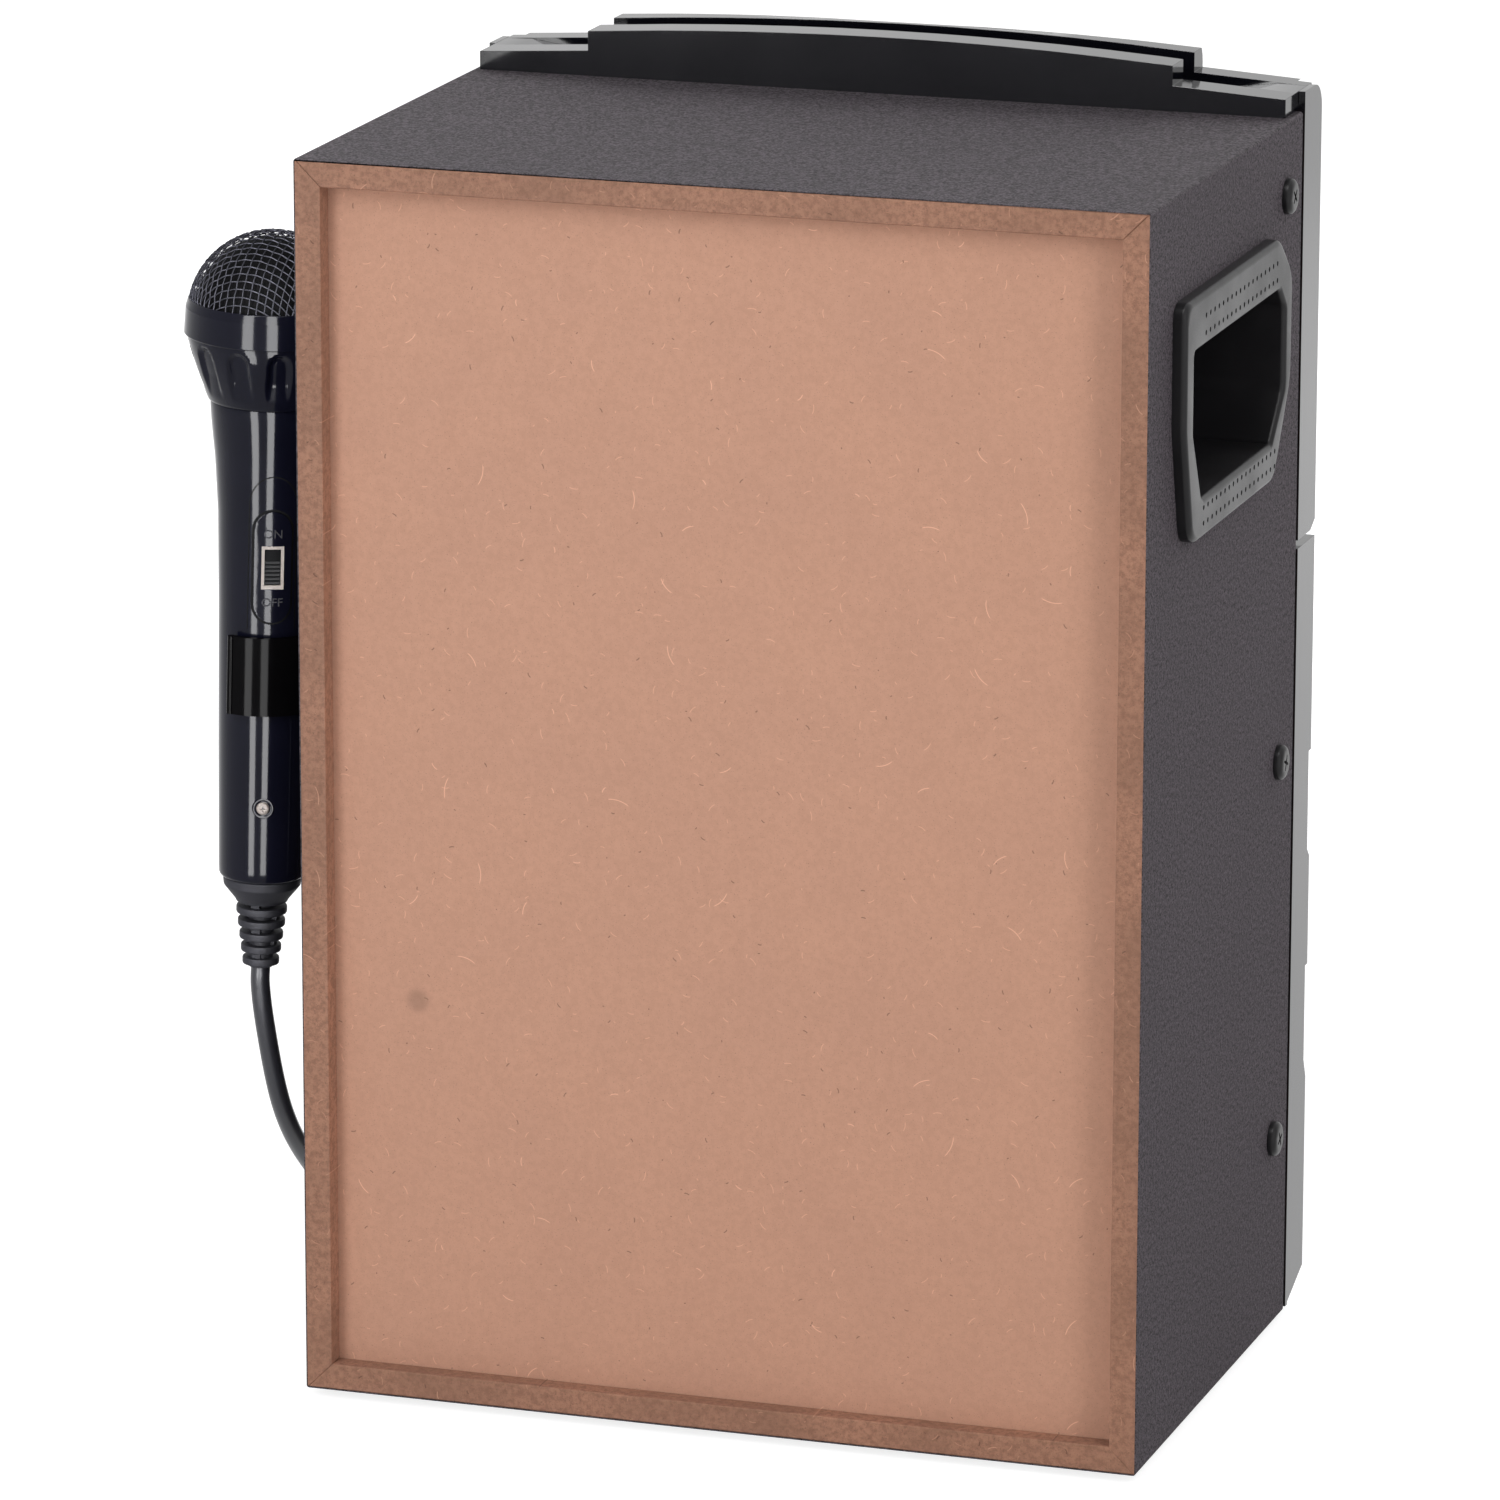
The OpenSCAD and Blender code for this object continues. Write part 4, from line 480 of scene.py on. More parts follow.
def arc(radius: float, degrees: Iterable[float], middle: Point = (0.0, 0.0), height: float | None = None,
        ) -> list[Point]:
    """Lays points on a circle or an ellipse.

    Args:
        radius: The radius, along x where a height is given.
        degrees: The angle of each point.
        middle: The middle.
        height: The radius along y, where it differs.

    Returns:
        The points.
    """
    tall = radius if height is None else height
    turns = [math.radians(a) for a in degrees]
    return [(middle[0] + radius * math.cos(a), middle[1] + tall * math.sin(a)) for a in turns]


def fillet(corners: Sequence[tuple[float, float, float]], steps: int = 4, closed: bool = True) -> list[Point]:
    """Rounds the corners of an outline with arcs.

    Args:
        corners: For each corner its two coordinates and its radius.
        steps: How many stretches an arc has.
        closed: Whether the last corner joins the first.

    Returns:
        The outline's points.
    """
    points: list[Point] = []
    count = len(corners)
    for i, (x, y, radius) in enumerate(corners):
        here = Vector((x, y))
        if radius <= 0 or (not closed and i in (0, count - 1)):
            points.append((x, y))
            continue
        back = (Vector(corners[i - 1][:2]) - here).normalized()
        ahead = (Vector(corners[(i + 1) % count][:2]) - here).normalized()
        half = back.angle(ahead) / 2
        reach = radius / math.tan(half)
        centre = here + (back + ahead).normalized() * (radius / math.sin(half))
        start, end = here + back * reach - centre, here + ahead * reach - centre
        sweep = math.atan2(start.x * end.y - start.y * end.x, start.dot(end))
        for k in range(steps + 1):
            turned = Matrix.Rotation(sweep * k / steps, 2) @ start
            points.append(tuple(centre + turned))
    return points


def lathe(profile: Sequence[Point], steps: int = 96, closed: bool = False) -> bmesh.types.BMesh:
    """Spins a profile of radius and height about the z axis.

    Args:
        profile: The points, in millimetres.
        steps: How many stretches a turn has.
        closed: Whether the last point joins the first.

    Returns:
        The turned shell, in millimetres.
    """
    bm = bmesh.new()
    verts = [bm.verts.new((r, 0, z)) for r, z in profile]
    edges = [bm.edges.new(pair) for pair in zip(verts, verts[1:])]
    if closed:
        edges.append(bm.edges.new((verts[-1], verts[0])))
    bmesh.ops.spin(bm, geom=verts + edges, axis=(0, 0, 1), cent=(0, 0, 0), angle=math.tau, steps=steps,
                   use_merge=True)
    bmesh.ops.remove_doubles(bm, verts=bm.verts, dist=1e-4)
    bmesh.ops.recalc_face_normals(bm, faces=bm.faces)
    return bm


def sheet_with_holes(loops: Iterable[Sequence[Point]],
                     ) -> tuple[bmesh.types.BMesh, list[list[bmesh.types.BMEdge]]]:
    """Fills a flat outline and leaves the loops inside it open.

    Args:
        loops: The outline and then each hole, in x and y.

    Returns:
        The flat mesh and the edges of each loop.
    """
    bm = bmesh.new()
    rims = []
    for loop in loops:
        verts = [bm.verts.new((x, y, 0)) for x, y in loop]
        rims.append([bm.edges.new((a, b)) for a, b in zip(verts, verts[1:] + verts[:1])])
    bmesh.ops.triangle_fill(bm, use_beauty=True, use_dissolve=False, edges=bm.edges[:], normal=(0, 0, 1))
    return bm, rims


def pushed(bm: bmesh.types.BMesh, rim: Iterable[bmesh.types.BMEdge], drop: float, scale: float = 1.0,
           ) -> list[bmesh.types.BMEdge]:
    """Extrudes an open rim along z, drawn in about its middle.

    Args:
        bm: The mesh.
        rim: The loop of edges.
        drop: How far it goes down.
        scale: Its new size against the old one.

    Returns:
        The new loop of edges.
    """
    made = bmesh.ops.extrude_edge_only(bm, edges=list(rim))["geom"]
    verts = [g for g in made if isinstance(g, bmesh.types.BMVert)]
    middle = sum((v.co for v in verts), Vector()) / len(verts)
    for v in verts:
        v.co = middle + (v.co - middle) * scale + Vector((0, 0, -drop))
    return [g for g in made if isinstance(g, bmesh.types.BMEdge)]


def slab(outline: Sequence[Point], depth: float) -> bmesh.types.BMesh:
    """Extrudes an outline along z.

    Args:
        outline: The points in x and y, in millimetres.
        depth: The thickness; the outline lies at zero.

    Returns:
        The closed slab.
    """
    bm = bmesh.new()
    face = bm.faces.new([bm.verts.new((x, y, 0)) for x, y in outline])
    made = bmesh.ops.extrude_face_region(bm, geom=[face])["geom"]
    bmesh.ops.translate(bm, verts=[g for g in made if isinstance(g, bmesh.types.BMVert)], vec=(0, 0, depth))
    bmesh.ops.recalc_face_normals(bm, faces=bm.faces)
    return bm


def pan_head(radius: float) -> bmesh.types.BMesh:
    """Makes a screw with a pan head and a cross recess, its shank going down.

    Args:
        radius: The head's radius; everything else follows it.

    Returns:
        The screw, its head standing on z = 0.
    """
    cross = []
    for k in range(4):
        for x, y in ((0.088, -0.088), (0.464, -0.067), (0.464, 0.067)):
            a = math.radians(90 * k)
            cross.append((x * math.cos(a) - y * math.sin(a), x * math.sin(a) + y * math.cos(a)))
    top, rims = sheet_with_holes([arc(0.704, range(0, 360, 10)), cross])
    floor = pushed(top, rims[1], 0.3, 0.7)
    bmesh.ops.holes_fill(top, edges=floor)
    bmesh.ops.translate(top, verts=top.verts, vec=(0, 0, 0.512))
    side = lathe([(0.704, 0.512), (0.848, 0.456), (0.952, 0.36), (1.0, 0.224), (1.0, 0.008), (0.32, 0.008),
                  (0.32, -2.2), (0, -2.2)], 36)
    head = stacked(top, side)
    bmesh.ops.remove_doubles(head, verts=head.verts, dist=0.004)
    bmesh.ops.recalc_face_normals(head, faces=head.faces)
    return moved(head, Matrix.Scale(radius, 4))


def round_over(bm: bmesh.types.BMesh, width: float, segments: int,
               chosen: Callable[[bmesh.types.BMEdge], bool] = lambda e: True, sharper: float = 30.0) -> None:
    """Bevels the sharp edges that a test chooses."""
    edges = [e for e in bm.edges if len(e.link_faces) == 2 and chosen(e)
             and e.calc_face_angle(0) > math.radians(sharper)]
    bmesh.ops.bevel(bm, geom=edges, offset=width, offset_type="OFFSET", segments=segments, profile=0.5,
                    affect="EDGES", clamp_overlap=True, material=-1)


def stacked(*parts: bmesh.types.BMesh) -> bmesh.types.BMesh:
    """Puts several meshes into one."""
    whole = bmesh.new()
    for part in parts:
        mesh = bpy.data.meshes.new("part")
        part.to_mesh(mesh)
        part.free()
        whole.from_mesh(mesh)
        bpy.data.meshes.remove(mesh)
    return whole


def copies(bm: bmesh.types.BMesh, moves: Iterable[Matrix]) -> bmesh.types.BMesh:
    """Repeats a mesh at each of the moves."""
    return stacked(*[moved(bm.copy(), move) for move in moves])


def moved(bm: bmesh.types.BMesh, move: Matrix) -> bmesh.types.BMesh:
    """Moves a mesh, and turns its faces round where the move mirrors it."""
    bmesh.ops.transform(bm, matrix=move, verts=bm.verts)
    if move.determinant() < 0:
        bmesh.ops.reverse_faces(bm, faces=bm.faces)
    return bm


def facing(x: float, y: float, z: float, out: str) -> Matrix:
    """Places a shape made in x and y so that its +z looks out along an axis.

    Args:
        x: Where its middle comes to lie.
        y: The same along y.
        z: The same along z.
        out: The axis it faces: -Y, +X or -X.

    Returns:
        The move, in millimetres.
    """
    turns = {
        "-Y": Matrix.Rotation(math.pi / 2, 4, "X"),
        "+X": Matrix.Rotation(math.pi / 2, 4, "Z") @ Matrix.Rotation(math.pi / 2, 4, "X"),
        "-X": Matrix.Rotation(-math.pi / 2, 4, "Z") @ Matrix.Rotation(math.pi / 2, 4, "X"),
    }
    return Matrix.Translation((x, y, z)) @ turns[out]


def finished(name: str, bm: bmesh.types.BMesh, finish: Finish, body: str, replaced: Sequence[str] = (),
             sharp: float = 32.0, weighted: bool = True) -> bpy.types.Object:
    """Makes a mesh in millimetres into a piece of the machine.

    Args:
        name: The piece's name.
        bm: Its mesh; it is used up.
        finish: Its finish.
        body: The body it moves with.
        replaced: The nodes that it stands for.
        sharp: The angle in degrees past which an edge stays sharp.
        weighted: Whether large faces keep their own shading beside small ones.

    Returns:
        The piece.
    """
    bmesh.ops.scale(bm, vec=(MM, MM, MM), verts=bm.verts)
    mesh = bpy.data.meshes.new(name)
    bm.to_mesh(mesh)
    bm.free()
    mesh.shade_smooth()
    mesh.set_sharp_from_angle(angle=math.radians(sharp))
    mesh.materials.append(finish.made())
    piece = bpy.data.objects.new(name, mesh)
    bpy.context.scene.collection.objects.link(piece)
    if weighted:
        steady = piece.modifiers.new("steady", "WEIGHTED_NORMAL")
        steady.keep_sharp = True
    if replaced:
        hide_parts(*replaced)
    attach(piece, body)
    LOG.info("%s: %d faces", name, len(mesh.polygons))
    return piece


def node_mesh(node: str) -> bmesh.types.BMesh:
    """Returns a copy of a CAD node in millimetres, its loose triangles merged and its flat faces whole."""
    bm = bmesh.new()
    bm.from_mesh(Machine.frame["nodes"][node].data)
    bmesh.ops.scale(bm, vec=(1 / MM,) * 3, verts=bm.verts)
    bmesh.ops.remove_doubles(bm, verts=bm.verts, dist=2e-3)
    bmesh.ops.dissolve_limit(bm, angle_limit=math.radians(0.6), verts=bm.verts, edges=bm.edges)
    return bm


def eased(node: str, finish: Finish, body: str, width: float = 0.4, segments: int = 2,
          chosen: Callable[[bmesh.types.BMEdge], bool] = lambda e: True) -> bpy.types.Object:
    """Stands a copy with softened edges in for a CAD node."""
    bm = node_mesh(node)
    round_over(bm, width, segments, chosen)
    return finished(node + "_eased", bm, finish, body, [node])


def painted(finish: Finish, *nodes: str) -> None:
    """Gives CAD nodes whose shape is right their finish."""
    for node in nodes:
        slots = Machine.frame["nodes"][node].data.materials
        slots.clear()
        slots.append(finish.made())
        LOG.info("%s: painted", node)


class Machine:
    """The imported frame, which every sub-assembly reads."""

    frame: dict = {}


# ---------- studio ----------


@dataclass
class Studio:
    """Camera, floor and lights. The camera stands behind the machine, a little to its left."""

    azimuth: float = 18.23
    elevation: float = 14.49
    roll: float = 0.09
    distance: float = 3215.4
    lens: float = 222.3
    sideways: float = -18.4
    upwards: float = 0.57
    middle: float = 217.5
    floor_z: float = -3.0

    def axes(self) -> tuple[Vector, Vector, Vector]:
        """Returns the camera's right, up and back directions."""
        a, e, r = (math.radians(v) for v in (self.azimuth, self.elevation, self.roll))
        back = Vector((-math.sin(a) * math.cos(e), math.cos(a) * math.cos(e), math.sin(e)))
        right = (-back).cross(Vector((0, 0, 1))).normalized()
        up = right.cross(-back)
        return right * math.cos(r) + up * math.sin(r), up * math.cos(r) - right * math.sin(r), back

    def camera(self) -> None:
        """Makes the camera at the photograph's angle."""
        a = math.radians(self.azimuth)
        level = Vector((-math.cos(a), -math.sin(a), 0))
        right, up, back = self.axes()
        data = bpy.data.cameras.new("camera")
        data.lens, data.sensor_width = self.lens, 36.0
        data.clip_start, data.clip_end = 0.1, 60.0
        camera = bpy.data.objects.new("camera", data)
        away = back * self.distance + level * self.sideways + up * self.upwards
        place = at_mm(0, 0, self.middle) + away * MM
        camera.matrix_world = Matrix.Translation(place) @ Matrix((right, up, back)).transposed().to_4x4()
        bpy.context.scene.collection.objects.link(camera)
        bpy.context.scene.camera = camera

    def floor(self) -> None:
        """Makes a floor that is white to the eye and still takes the machine's shadow."""
        bm = bmesh.new()
        bmesh.ops.create_grid(bm, x_segments=1, y_segments=1, size=40.0)
        mesh = bpy.data.meshes.new("floor")
        bm.to_mesh(mesh)
        bm.free()
        floor = bpy.data.objects.new("floor", mesh)
        floor.location.z = self.floor_z * MM
        bpy.context.scene.collection.objects.link(floor)
        material = bpy.data.materials.new("floor_white")
        material.use_nodes = True
        material.node_tree.nodes.clear()
        w = Wires(material.node_tree)
        paper = w.add("BsdfDiffuse", {"Color": (0.78, 0.78, 0.78, 1.0)})
        here = w.add("TexCoord").outputs["Object"]
        off = w.add("VectorMath", {0: here}, operation="LENGTH").outputs["Value"]
        fade = {"Value": off, "From Min": 0.5, "From Max": 1.6, "To Min": 0.82, "To Max": 1.0}
        glow = w.add("MapRange", fade)
        shown = w.add("AddShader", {0: w.add("BsdfDiffuse", {"Color": (0.4, 0.4, 0.4, 1.0)}).outputs[0],
                                    1: w.add("Emission", {"Strength": glow.outputs[0]}).outputs[0]})
        mixed = w.add("MixShader", {0: self.eye(w), 1: paper.outputs[0], 2: shown.outputs[0]})
        w.add("OutputMaterial", {0: mixed.outputs[0]})
        mesh.materials.append(material)

    @staticmethod
    def eye(w: Wires) -> bpy.types.NodeSocket:
        """Returns 1 on rays from the eye, by way of a mirror or glass too, and 0 on others."""
        path = w.add("LightPath")
        either = w.sum("MAXIMUM", path.outputs["Is Camera Ray"], path.outputs["Is Glossy Ray"])
        return w.sum("MAXIMUM", either, path.outputs["Is Transmission Ray"])

    def sky(self, ambient: float) -> None:
        """Makes a white surrounding that lights the machine softly."""
        world = bpy.data.worlds.new("studio")
        world.use_nodes = True
        world.node_tree.nodes.clear()
        w = Wires(world.node_tree)
        strength = w.add("MapRange", {"Value": self.eye(w), "To Min": ambient, "To Max": 1.0}).outputs[0]
        back = w.add("Background", {"Color": (1.0, 1.0, 1.0, 1.0), "Strength": strength})
        w.add("OutputWorld", {0: back.outputs[0]})
        bpy.context.scene.world = world

    def softbox(self, name: str, azimuth: float, elevation: float, width: float, height: float, power: float,
                shine: float) -> None:
        """Hangs a softbox, and a second one that only shows in gloss.

        Args:
            name: Its name.
            azimuth: The direction it stands in, in degrees from +Y towards -X.
            elevation: Its height above the horizon, in degrees.
            width: Its width in metres.
            height: Its height in metres.
            power: Its power in watts.
            shine: The power of the one that gloss reflects.
        """
        a, e = math.radians(azimuth), math.radians(elevation)
        away = Vector((-math.sin(a) * math.cos(e), math.cos(a) * math.cos(e), math.sin(e)))
        for kind, watts in (("soft", power), ("shine", shine)):
            data = bpy.data.lights.new(f"{name}_{kind}", "AREA")
            data.shape, data.size, data.size_y, data.energy = "RECTANGLE", width, height, watts
            lamp = bpy.data.objects.new(data.name, data)
            lamp.matrix_world = Matrix.Translation(at_mm(0, 0, self.middle) + away * 2.0) @ (
                away.to_track_quat("Z", "Y").to_matrix().to_4x4())
            lamp.visible_camera = False
            lamp.visible_diffuse = kind == "soft"
            lamp.visible_glossy = kind == "shine"
            bpy.context.scene.collection.objects.link(lamp)

    def strip(self, name: str, middle: tuple[float, float, float], aim: tuple[float, float, float],
              width: float, height: float, radiance: float) -> None:
        """Stands a light that only gloss shows, bright enough to draw a line of light on black plastic.

        Args:
            name: Its name.
            middle: Where it stands, in millimetres.
            aim: What it faces, in millimetres.
            width: Its width in metres.
            height: Its height in metres.
            radiance: How bright its face is, where a white background is 1.
        """
        data = bpy.data.lights.new(name, "AREA")
        data.shape, data.size, data.size_y = "RECTANGLE", width, height
        data.energy = radiance * math.pi * width * height
        lamp = bpy.data.objects.new(name, data)
        turn = (at_mm(*middle) - at_mm(*aim)).to_track_quat("Z", "Y")
        lamp.matrix_world = Matrix.Translation(at_mm(*middle)) @ turn.to_matrix().to_4x4()
        lamp.visible_camera = lamp.visible_diffuse = False
        bpy.context.scene.collection.objects.link(lamp)

    def build(self) -> None:
        """Makes the whole studio."""
        self.camera()
        self.floor()
        self.sky(0.32)
        self.softbox("left", self.azimuth - 39, 22, 0.75, 2.2, 18, 30)
        self.softbox("right", self.azimuth + 41, 22, 0.6, 2.2, 18, 30)
        for name, middle in (("strip_left", (268, 465, 700)), ("strip_right", (24, 446, 700))):
            self.strip(name, middle, (195, 20, 700), 0.11, 1.4, 24)
        self.strip("overhead", (-150, 750, 2200), (0, 96, 300), 1.2, 0.7, 8)
        self.softbox("front_left", self.azimuth + 150, 28, 0.9, 1.6, 13, 20)
        self.softbox("front_right", self.azimuth - 150, 28, 0.9, 1.6, 13, 20)
        bpy.context.scene.view_settings.view_transform = "Standard"


# ---------- microphone ----------


@dataclass
class MicrophoneCord:
    """The free cord: down from the strain relief, along the floor, into a coil and out to its plug."""

    half_w: float = 150.0
    thick: float = 7.0
    floor_z: float = -3.0
    lift: float = 0.25
    middle: Point = (141.0, -190.0)
    inner: float = 22.0
    pitch: float = 7.75
    half_loops: float = 4.0
    loops: float = 8.25
    tail: float = 34.0
    plug_z: float = 4.2
    route: tuple[tuple[float, float, float], ...] = (
        (45, 20, 128), (45.2, 20, 121), (44.5, 18, 107), (43.8, 10, 83), (43.6, 0, 66), (43.5, -15, 50),
        (43.4, -35, 34), (43.4, -60, 18), (43.6, -85, 6.5), (44, -110, 1.5), (44, -130, 0.75),
        (44, -176, 0.75), (44, -183, 0.75))

    def spun(self, points: list[Vector], steps: int) -> list[Vector]:
        """Returns a smooth curve through the route's points."""
        out: list[Vector] = []
        last = len(points) - 1
        for i in range(last):
            a, b, c, d = points[max(i - 1, 0)], points[i], points[i + 1], points[min(i + 2, last)]
            for k in range(steps):
                t = k / steps
                out.append(0.5 * (2 * b + (c - a) * t + (2 * a - 5 * b + 4 * c - d) * t * t
                                  + (3 * b - a - 3 * c + d) * t ** 3))
        return [*out, points[-1]]

    def coil(self, t: float) -> Vector:
        """Returns the coil's middle line after t loops."""
        radius = self.inner + self.pitch * abs(t - self.half_loops)
        climb = max(0.0, min(1.0, (t - self.half_loops + 0.25) / 0.5))
        height = self.floor_z + self.thick / 2 + self.lift + self.pitch * climb * climb * (3 - 2 * climb)
        turn = -math.tau * t
        x, y = self.middle
        return Vector((x + radius * math.cos(turn), y + radius * math.sin(turn), height))

    def line(self) -> list[Vector]:
        """Returns the cord's whole middle line, in millimetres."""
        free = self.spun([Vector((self.half_w + x, y, z)) for x, y, z in self.route], 6)
        turns = [self.coil(i / 48) for i in range(int(self.loops * 48) + 1)]
        end = turns[-1]
        out = []
        for i in range(1, 9):
            s = i / 8
            out.append(Vector((end.x - (self.tail - self.thick) * s, end.y,
                               end.z + (self.plug_z - end.z) * s * s * (3 - 2 * s))))
        return [*free, *turns, *out, Vector((end.x - self.tail, end.y, self.plug_z))]

    def build(self) -> None:
        """Makes the cord and the plug on its end."""
        line = self.line()
        data = bpy.data.curves.new("mic_cord_skin", "CURVE")
        data.dimensions, data.bevel_depth, data.bevel_resolution = "3D", self.thick / 2 * MM, 4
        data.use_fill_caps = True
        spline = data.splines.new("POLY")
        spline.points.add(len(line) - 1)
        for place, point in zip(spline.points, line):
            place.co = (*(point * MM), 1.0)
        spline.use_smooth = True
        data.materials.append(Finishes.CORD.made())
        cord = bpy.data.objects.new("mic_cord_skin", data)
        bpy.context.scene.collection.objects.link(cord)
        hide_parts("mic_cord", "mic_cord_coil")
        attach(cord, "microphone")
        plug = self.plug(line[-1])

    def plug(self, end: Vector) -> bpy.types.Object:
        """Makes the 6.35 mm plug, its grip and its shaft."""
        grip = lathe(fillet([(0, 0, 0), (4.7, 0, 0.5), (5.4, 12, 0.3), (7.0, 13, 0.8), (7.0, 38, 1.0),
                             (5.0, 39, 0.3), (0, 39, 0)], 3, closed=False), 48)
        shaft = lathe([(0, 39), (3.15, 39), (3.15, 51.5), (2.9, 51.7), (2.9, 52.7), (3.15, 52.9),
                       (3.15, 58.3), (2.9, 58.5), (2.9, 59.5), (3.15, 59.7), (3.15, 63), (2.4, 64.5),
                       (3.0, 66.5), (1.0, 69.3), (0, 69.5)], 40)
        body = stacked(grip, shaft)
        lay = Matrix.Translation(end) @ Matrix.Rotation(-math.pi / 2, 4, "Y")
        return finished("mic_plug_turned", moved(body, lay), Finishes.CHROME, "microphone", ["mic_plug"])


@dataclass
class Microphone:
    """The microphone in its band; heights run up its axis from the foot of the handle."""

    foot: tuple[float, float, float] = (195.0, 20.0, 128.0)
    lean: float = 1.8
    relief: float = 34.0
    handle: float = 172.0
    collar: float = 36.0
    ball_h: float = 202.0
    ball_r: float = 29.8
    wire_pitch: float = 2.9
    wire_r: float = 0.25
    dent_turn: float = -3.5
    switch_mid: float = 116.0
    screw_h: float = 28.2
    switch_turn: float = 26.0
    screw_turn: float = 20.0
    clip_low: float = 60.0
    clip_high: float = 93.0
    body: str = "microphone"
    radii: tuple[Point, ...] = (
        (0, 15.4), (48, 16.3), (80, 16.8), (100, 17.1), (132, 17.9), (151, 19.2), (163, 20.6), (172, 21.4))

    def place(self) -> Matrix:
        """Returns where the handle's foot and axis lie."""
        return (Matrix.Translation(self.foot) @ Matrix.Rotation(math.radians(-self.lean), 4, "Y")
                @ Matrix.Translation((0, 0, self.relief)))

    def towards(self, degrees: float) -> Matrix:
        """Returns a turn about the axis that takes +X to the back, plus some degrees towards the box."""
        return Matrix.Rotation(math.radians(90 + degrees), 4, "Z")

    def handle_r(self, height: float) -> float:
        """Returns the handle's radius at a height."""
        for (low, r0), (high, r1) in zip(self.radii, self.radii[1:]):
            if height <= high:
                return r0 + (r1 - r0) * (height - low) / (high - low)
        return self.radii[-1][1]

    def build(self) -> None:
        """Makes every piece of the microphone."""
        self.wand()
        self.ring()
        self.ball()
        self.switch()
        self.strain_relief()
        self.band()
        painted(Finishes.MECH, "mic_capsule")

    def wand(self) -> None:
        """Makes the handle, with a rounded foot and a seam at the collar."""
        outer, top = [(self.handle_r(h), h) for h in range(4, 171, 4)], self.handle
        profile = [(4.0, 2.0), (4.0, 0.0), (13.9, 0.0), (14.6, 0.15), (15.1, 0.7), (15.4, 1.6), *outer,
                   (21.2, top - 0.6), (20.8, top), (19.0, top), (18.9, top - 17), (14.6, 80.0), (13.4, 2.0)]
        bm = lathe(profile, 128, closed=True)
        finished("mic_handle_turned", moved(bm, self.place()), Finishes.MIC, self.body, ["mic_handle"], 50)

    def ring(self) -> None:
        """Makes the collar: a cone with long finger dents, and a ring with shallow panels over it."""
        z = self.handle
        cone = [(21.5, z + 0.1), (22.0, z + 0.3), (23.2, z + 3), (24.6, z + 6.5), (26.0, z + 10),
                (27.4, z + 14), (28.6, z + 18), (29.4, z + 21.5), (29.6, z + 23.2)]
        fine = []
        for (r0, h0), (r1, h1) in zip(cone, cone[1:]):
            count = max(1, round((h1 - h0) / 0.9))
            fine += [(r0 + (r1 - r0) * k / count, h0 + (h1 - h0) * k / count) for k in range(count)]
        fine.append(cone[-1])
        bm = lathe([*fine, (26.4, z + 23.2), (20.0, z + 4.0), (20.0, z + 0.1)], 240, closed=True)
        for v in bm.verts:
            radius = math.hypot(v.co.x, v.co.y)
            if radius < 20.5 or not z + 0.5 < v.co.z < z + 22.8 or radius < self.cone_r(cone, v.co.z) - 0.4:
                continue
            turn = math.degrees(math.atan2(v.co.y, v.co.x)) - 90 - self.dent_turn
            off = (turn + 15) % 30 - 15
            across = math.radians(off) * radius / 4.1
            height = (v.co.z - (z + 3.2)) / 17.6
            if not 0 < height < 1.08:
                continue
            arch = 1 - max(0.0, (height - 0.78) / 0.24) ** 2
            if arch <= 0 or abs(across) >= math.sqrt(arch):
                continue
            edge = 1 - abs(across) / math.sqrt(arch)
            depth = 1.35 * min(1.0, edge / 0.28) ** 0.7 * min(1.0, height / 0.45)
            v.co.x -= v.co.x / radius * depth
            v.co.y -= v.co.y / radius * depth
        finished("mic_collar_dented", moved(bm, self.place()), Finishes.MIC, self.body, ["mic_collar"], 60)
        top = z + self.collar
        band = lathe(fillet([(28.0, z + 23.3, 0), (30.8, z + 23.3, 0.5), (30.3, top - 3.2, 0.4),
                             (29.4, top - 0.2, 0.6), (28.4, top - 0.2, 0.2), (27.9, top - 3, 0)], 3), 216)
        for v in band.verts:
            radius = math.hypot(v.co.x, v.co.y)
            turn = math.degrees(math.atan2(v.co.y, v.co.x)) - 90 + 3.0
            off = abs((turn + 20) % 40 - 20)
            if radius > 30.0 and z + 25.2 < v.co.z < top - 3.9:
                v.co.x -= v.co.x / radius * (0.55 if off < 17.6 else 0)
                v.co.y -= v.co.y / radius * (0.55 if off < 17.6 else 0)
        finished("mic_collar_ring", moved(band, self.place()), Finishes.MIC, self.body, sharp=40)

    @staticmethod
    def cone_r(cone: Sequence[Point], height: float) -> float:
        """Returns the cone's outer radius at a height."""
        for (r0, h0), (r1, h1) in zip(cone, cone[1:]):
            if height <= h1:
                return r0 + (r1 - r0) * (height - h0) / (h1 - h0)
        return cone[-1][0]

    def net(self, radius: float, count: int) -> dict[tuple[int, int], Vector]:
        """Drapes a square net over a ball from its top, every cell's sides equally long.

        Args:
            radius: The ball's radius.
            count: How many cells the net has each way from the top.

        Returns:
            The knots by their two numbers.
        """
        turn = 2 * math.asin(self.wire_pitch / 2 / radius)
        knots: dict[tuple[int, int], Vector] = {}
        for i in range(count):
            knots[i, 0] = Vector((math.sin(i * turn), 0, math.cos(i * turn)))
            knots[0, i] = Vector((0, math.sin(i * turn), math.cos(i * turn)))
        for i in range(1, count):
            for j in range(1, count):
                a, b, c = knots.get((i - 1, j)), knots.get((i, j - 1)), knots.get((i - 1, j - 1))
                if a is None or b is None or c is None or a.cross(b).length < 1e-4:
                    continue
                mirror = a.cross(b).normalized()
                made = c - 2 * c.dot(mirror) * mirror
                if made.z > -0.35:
                    knots[i, j] = made
        return {(i * s, j * t): Vector((p.x * s, p.y * t, p.z)) for (i, j), p in knots.items()
                for s in (1, -1) for t in (1, -1)}

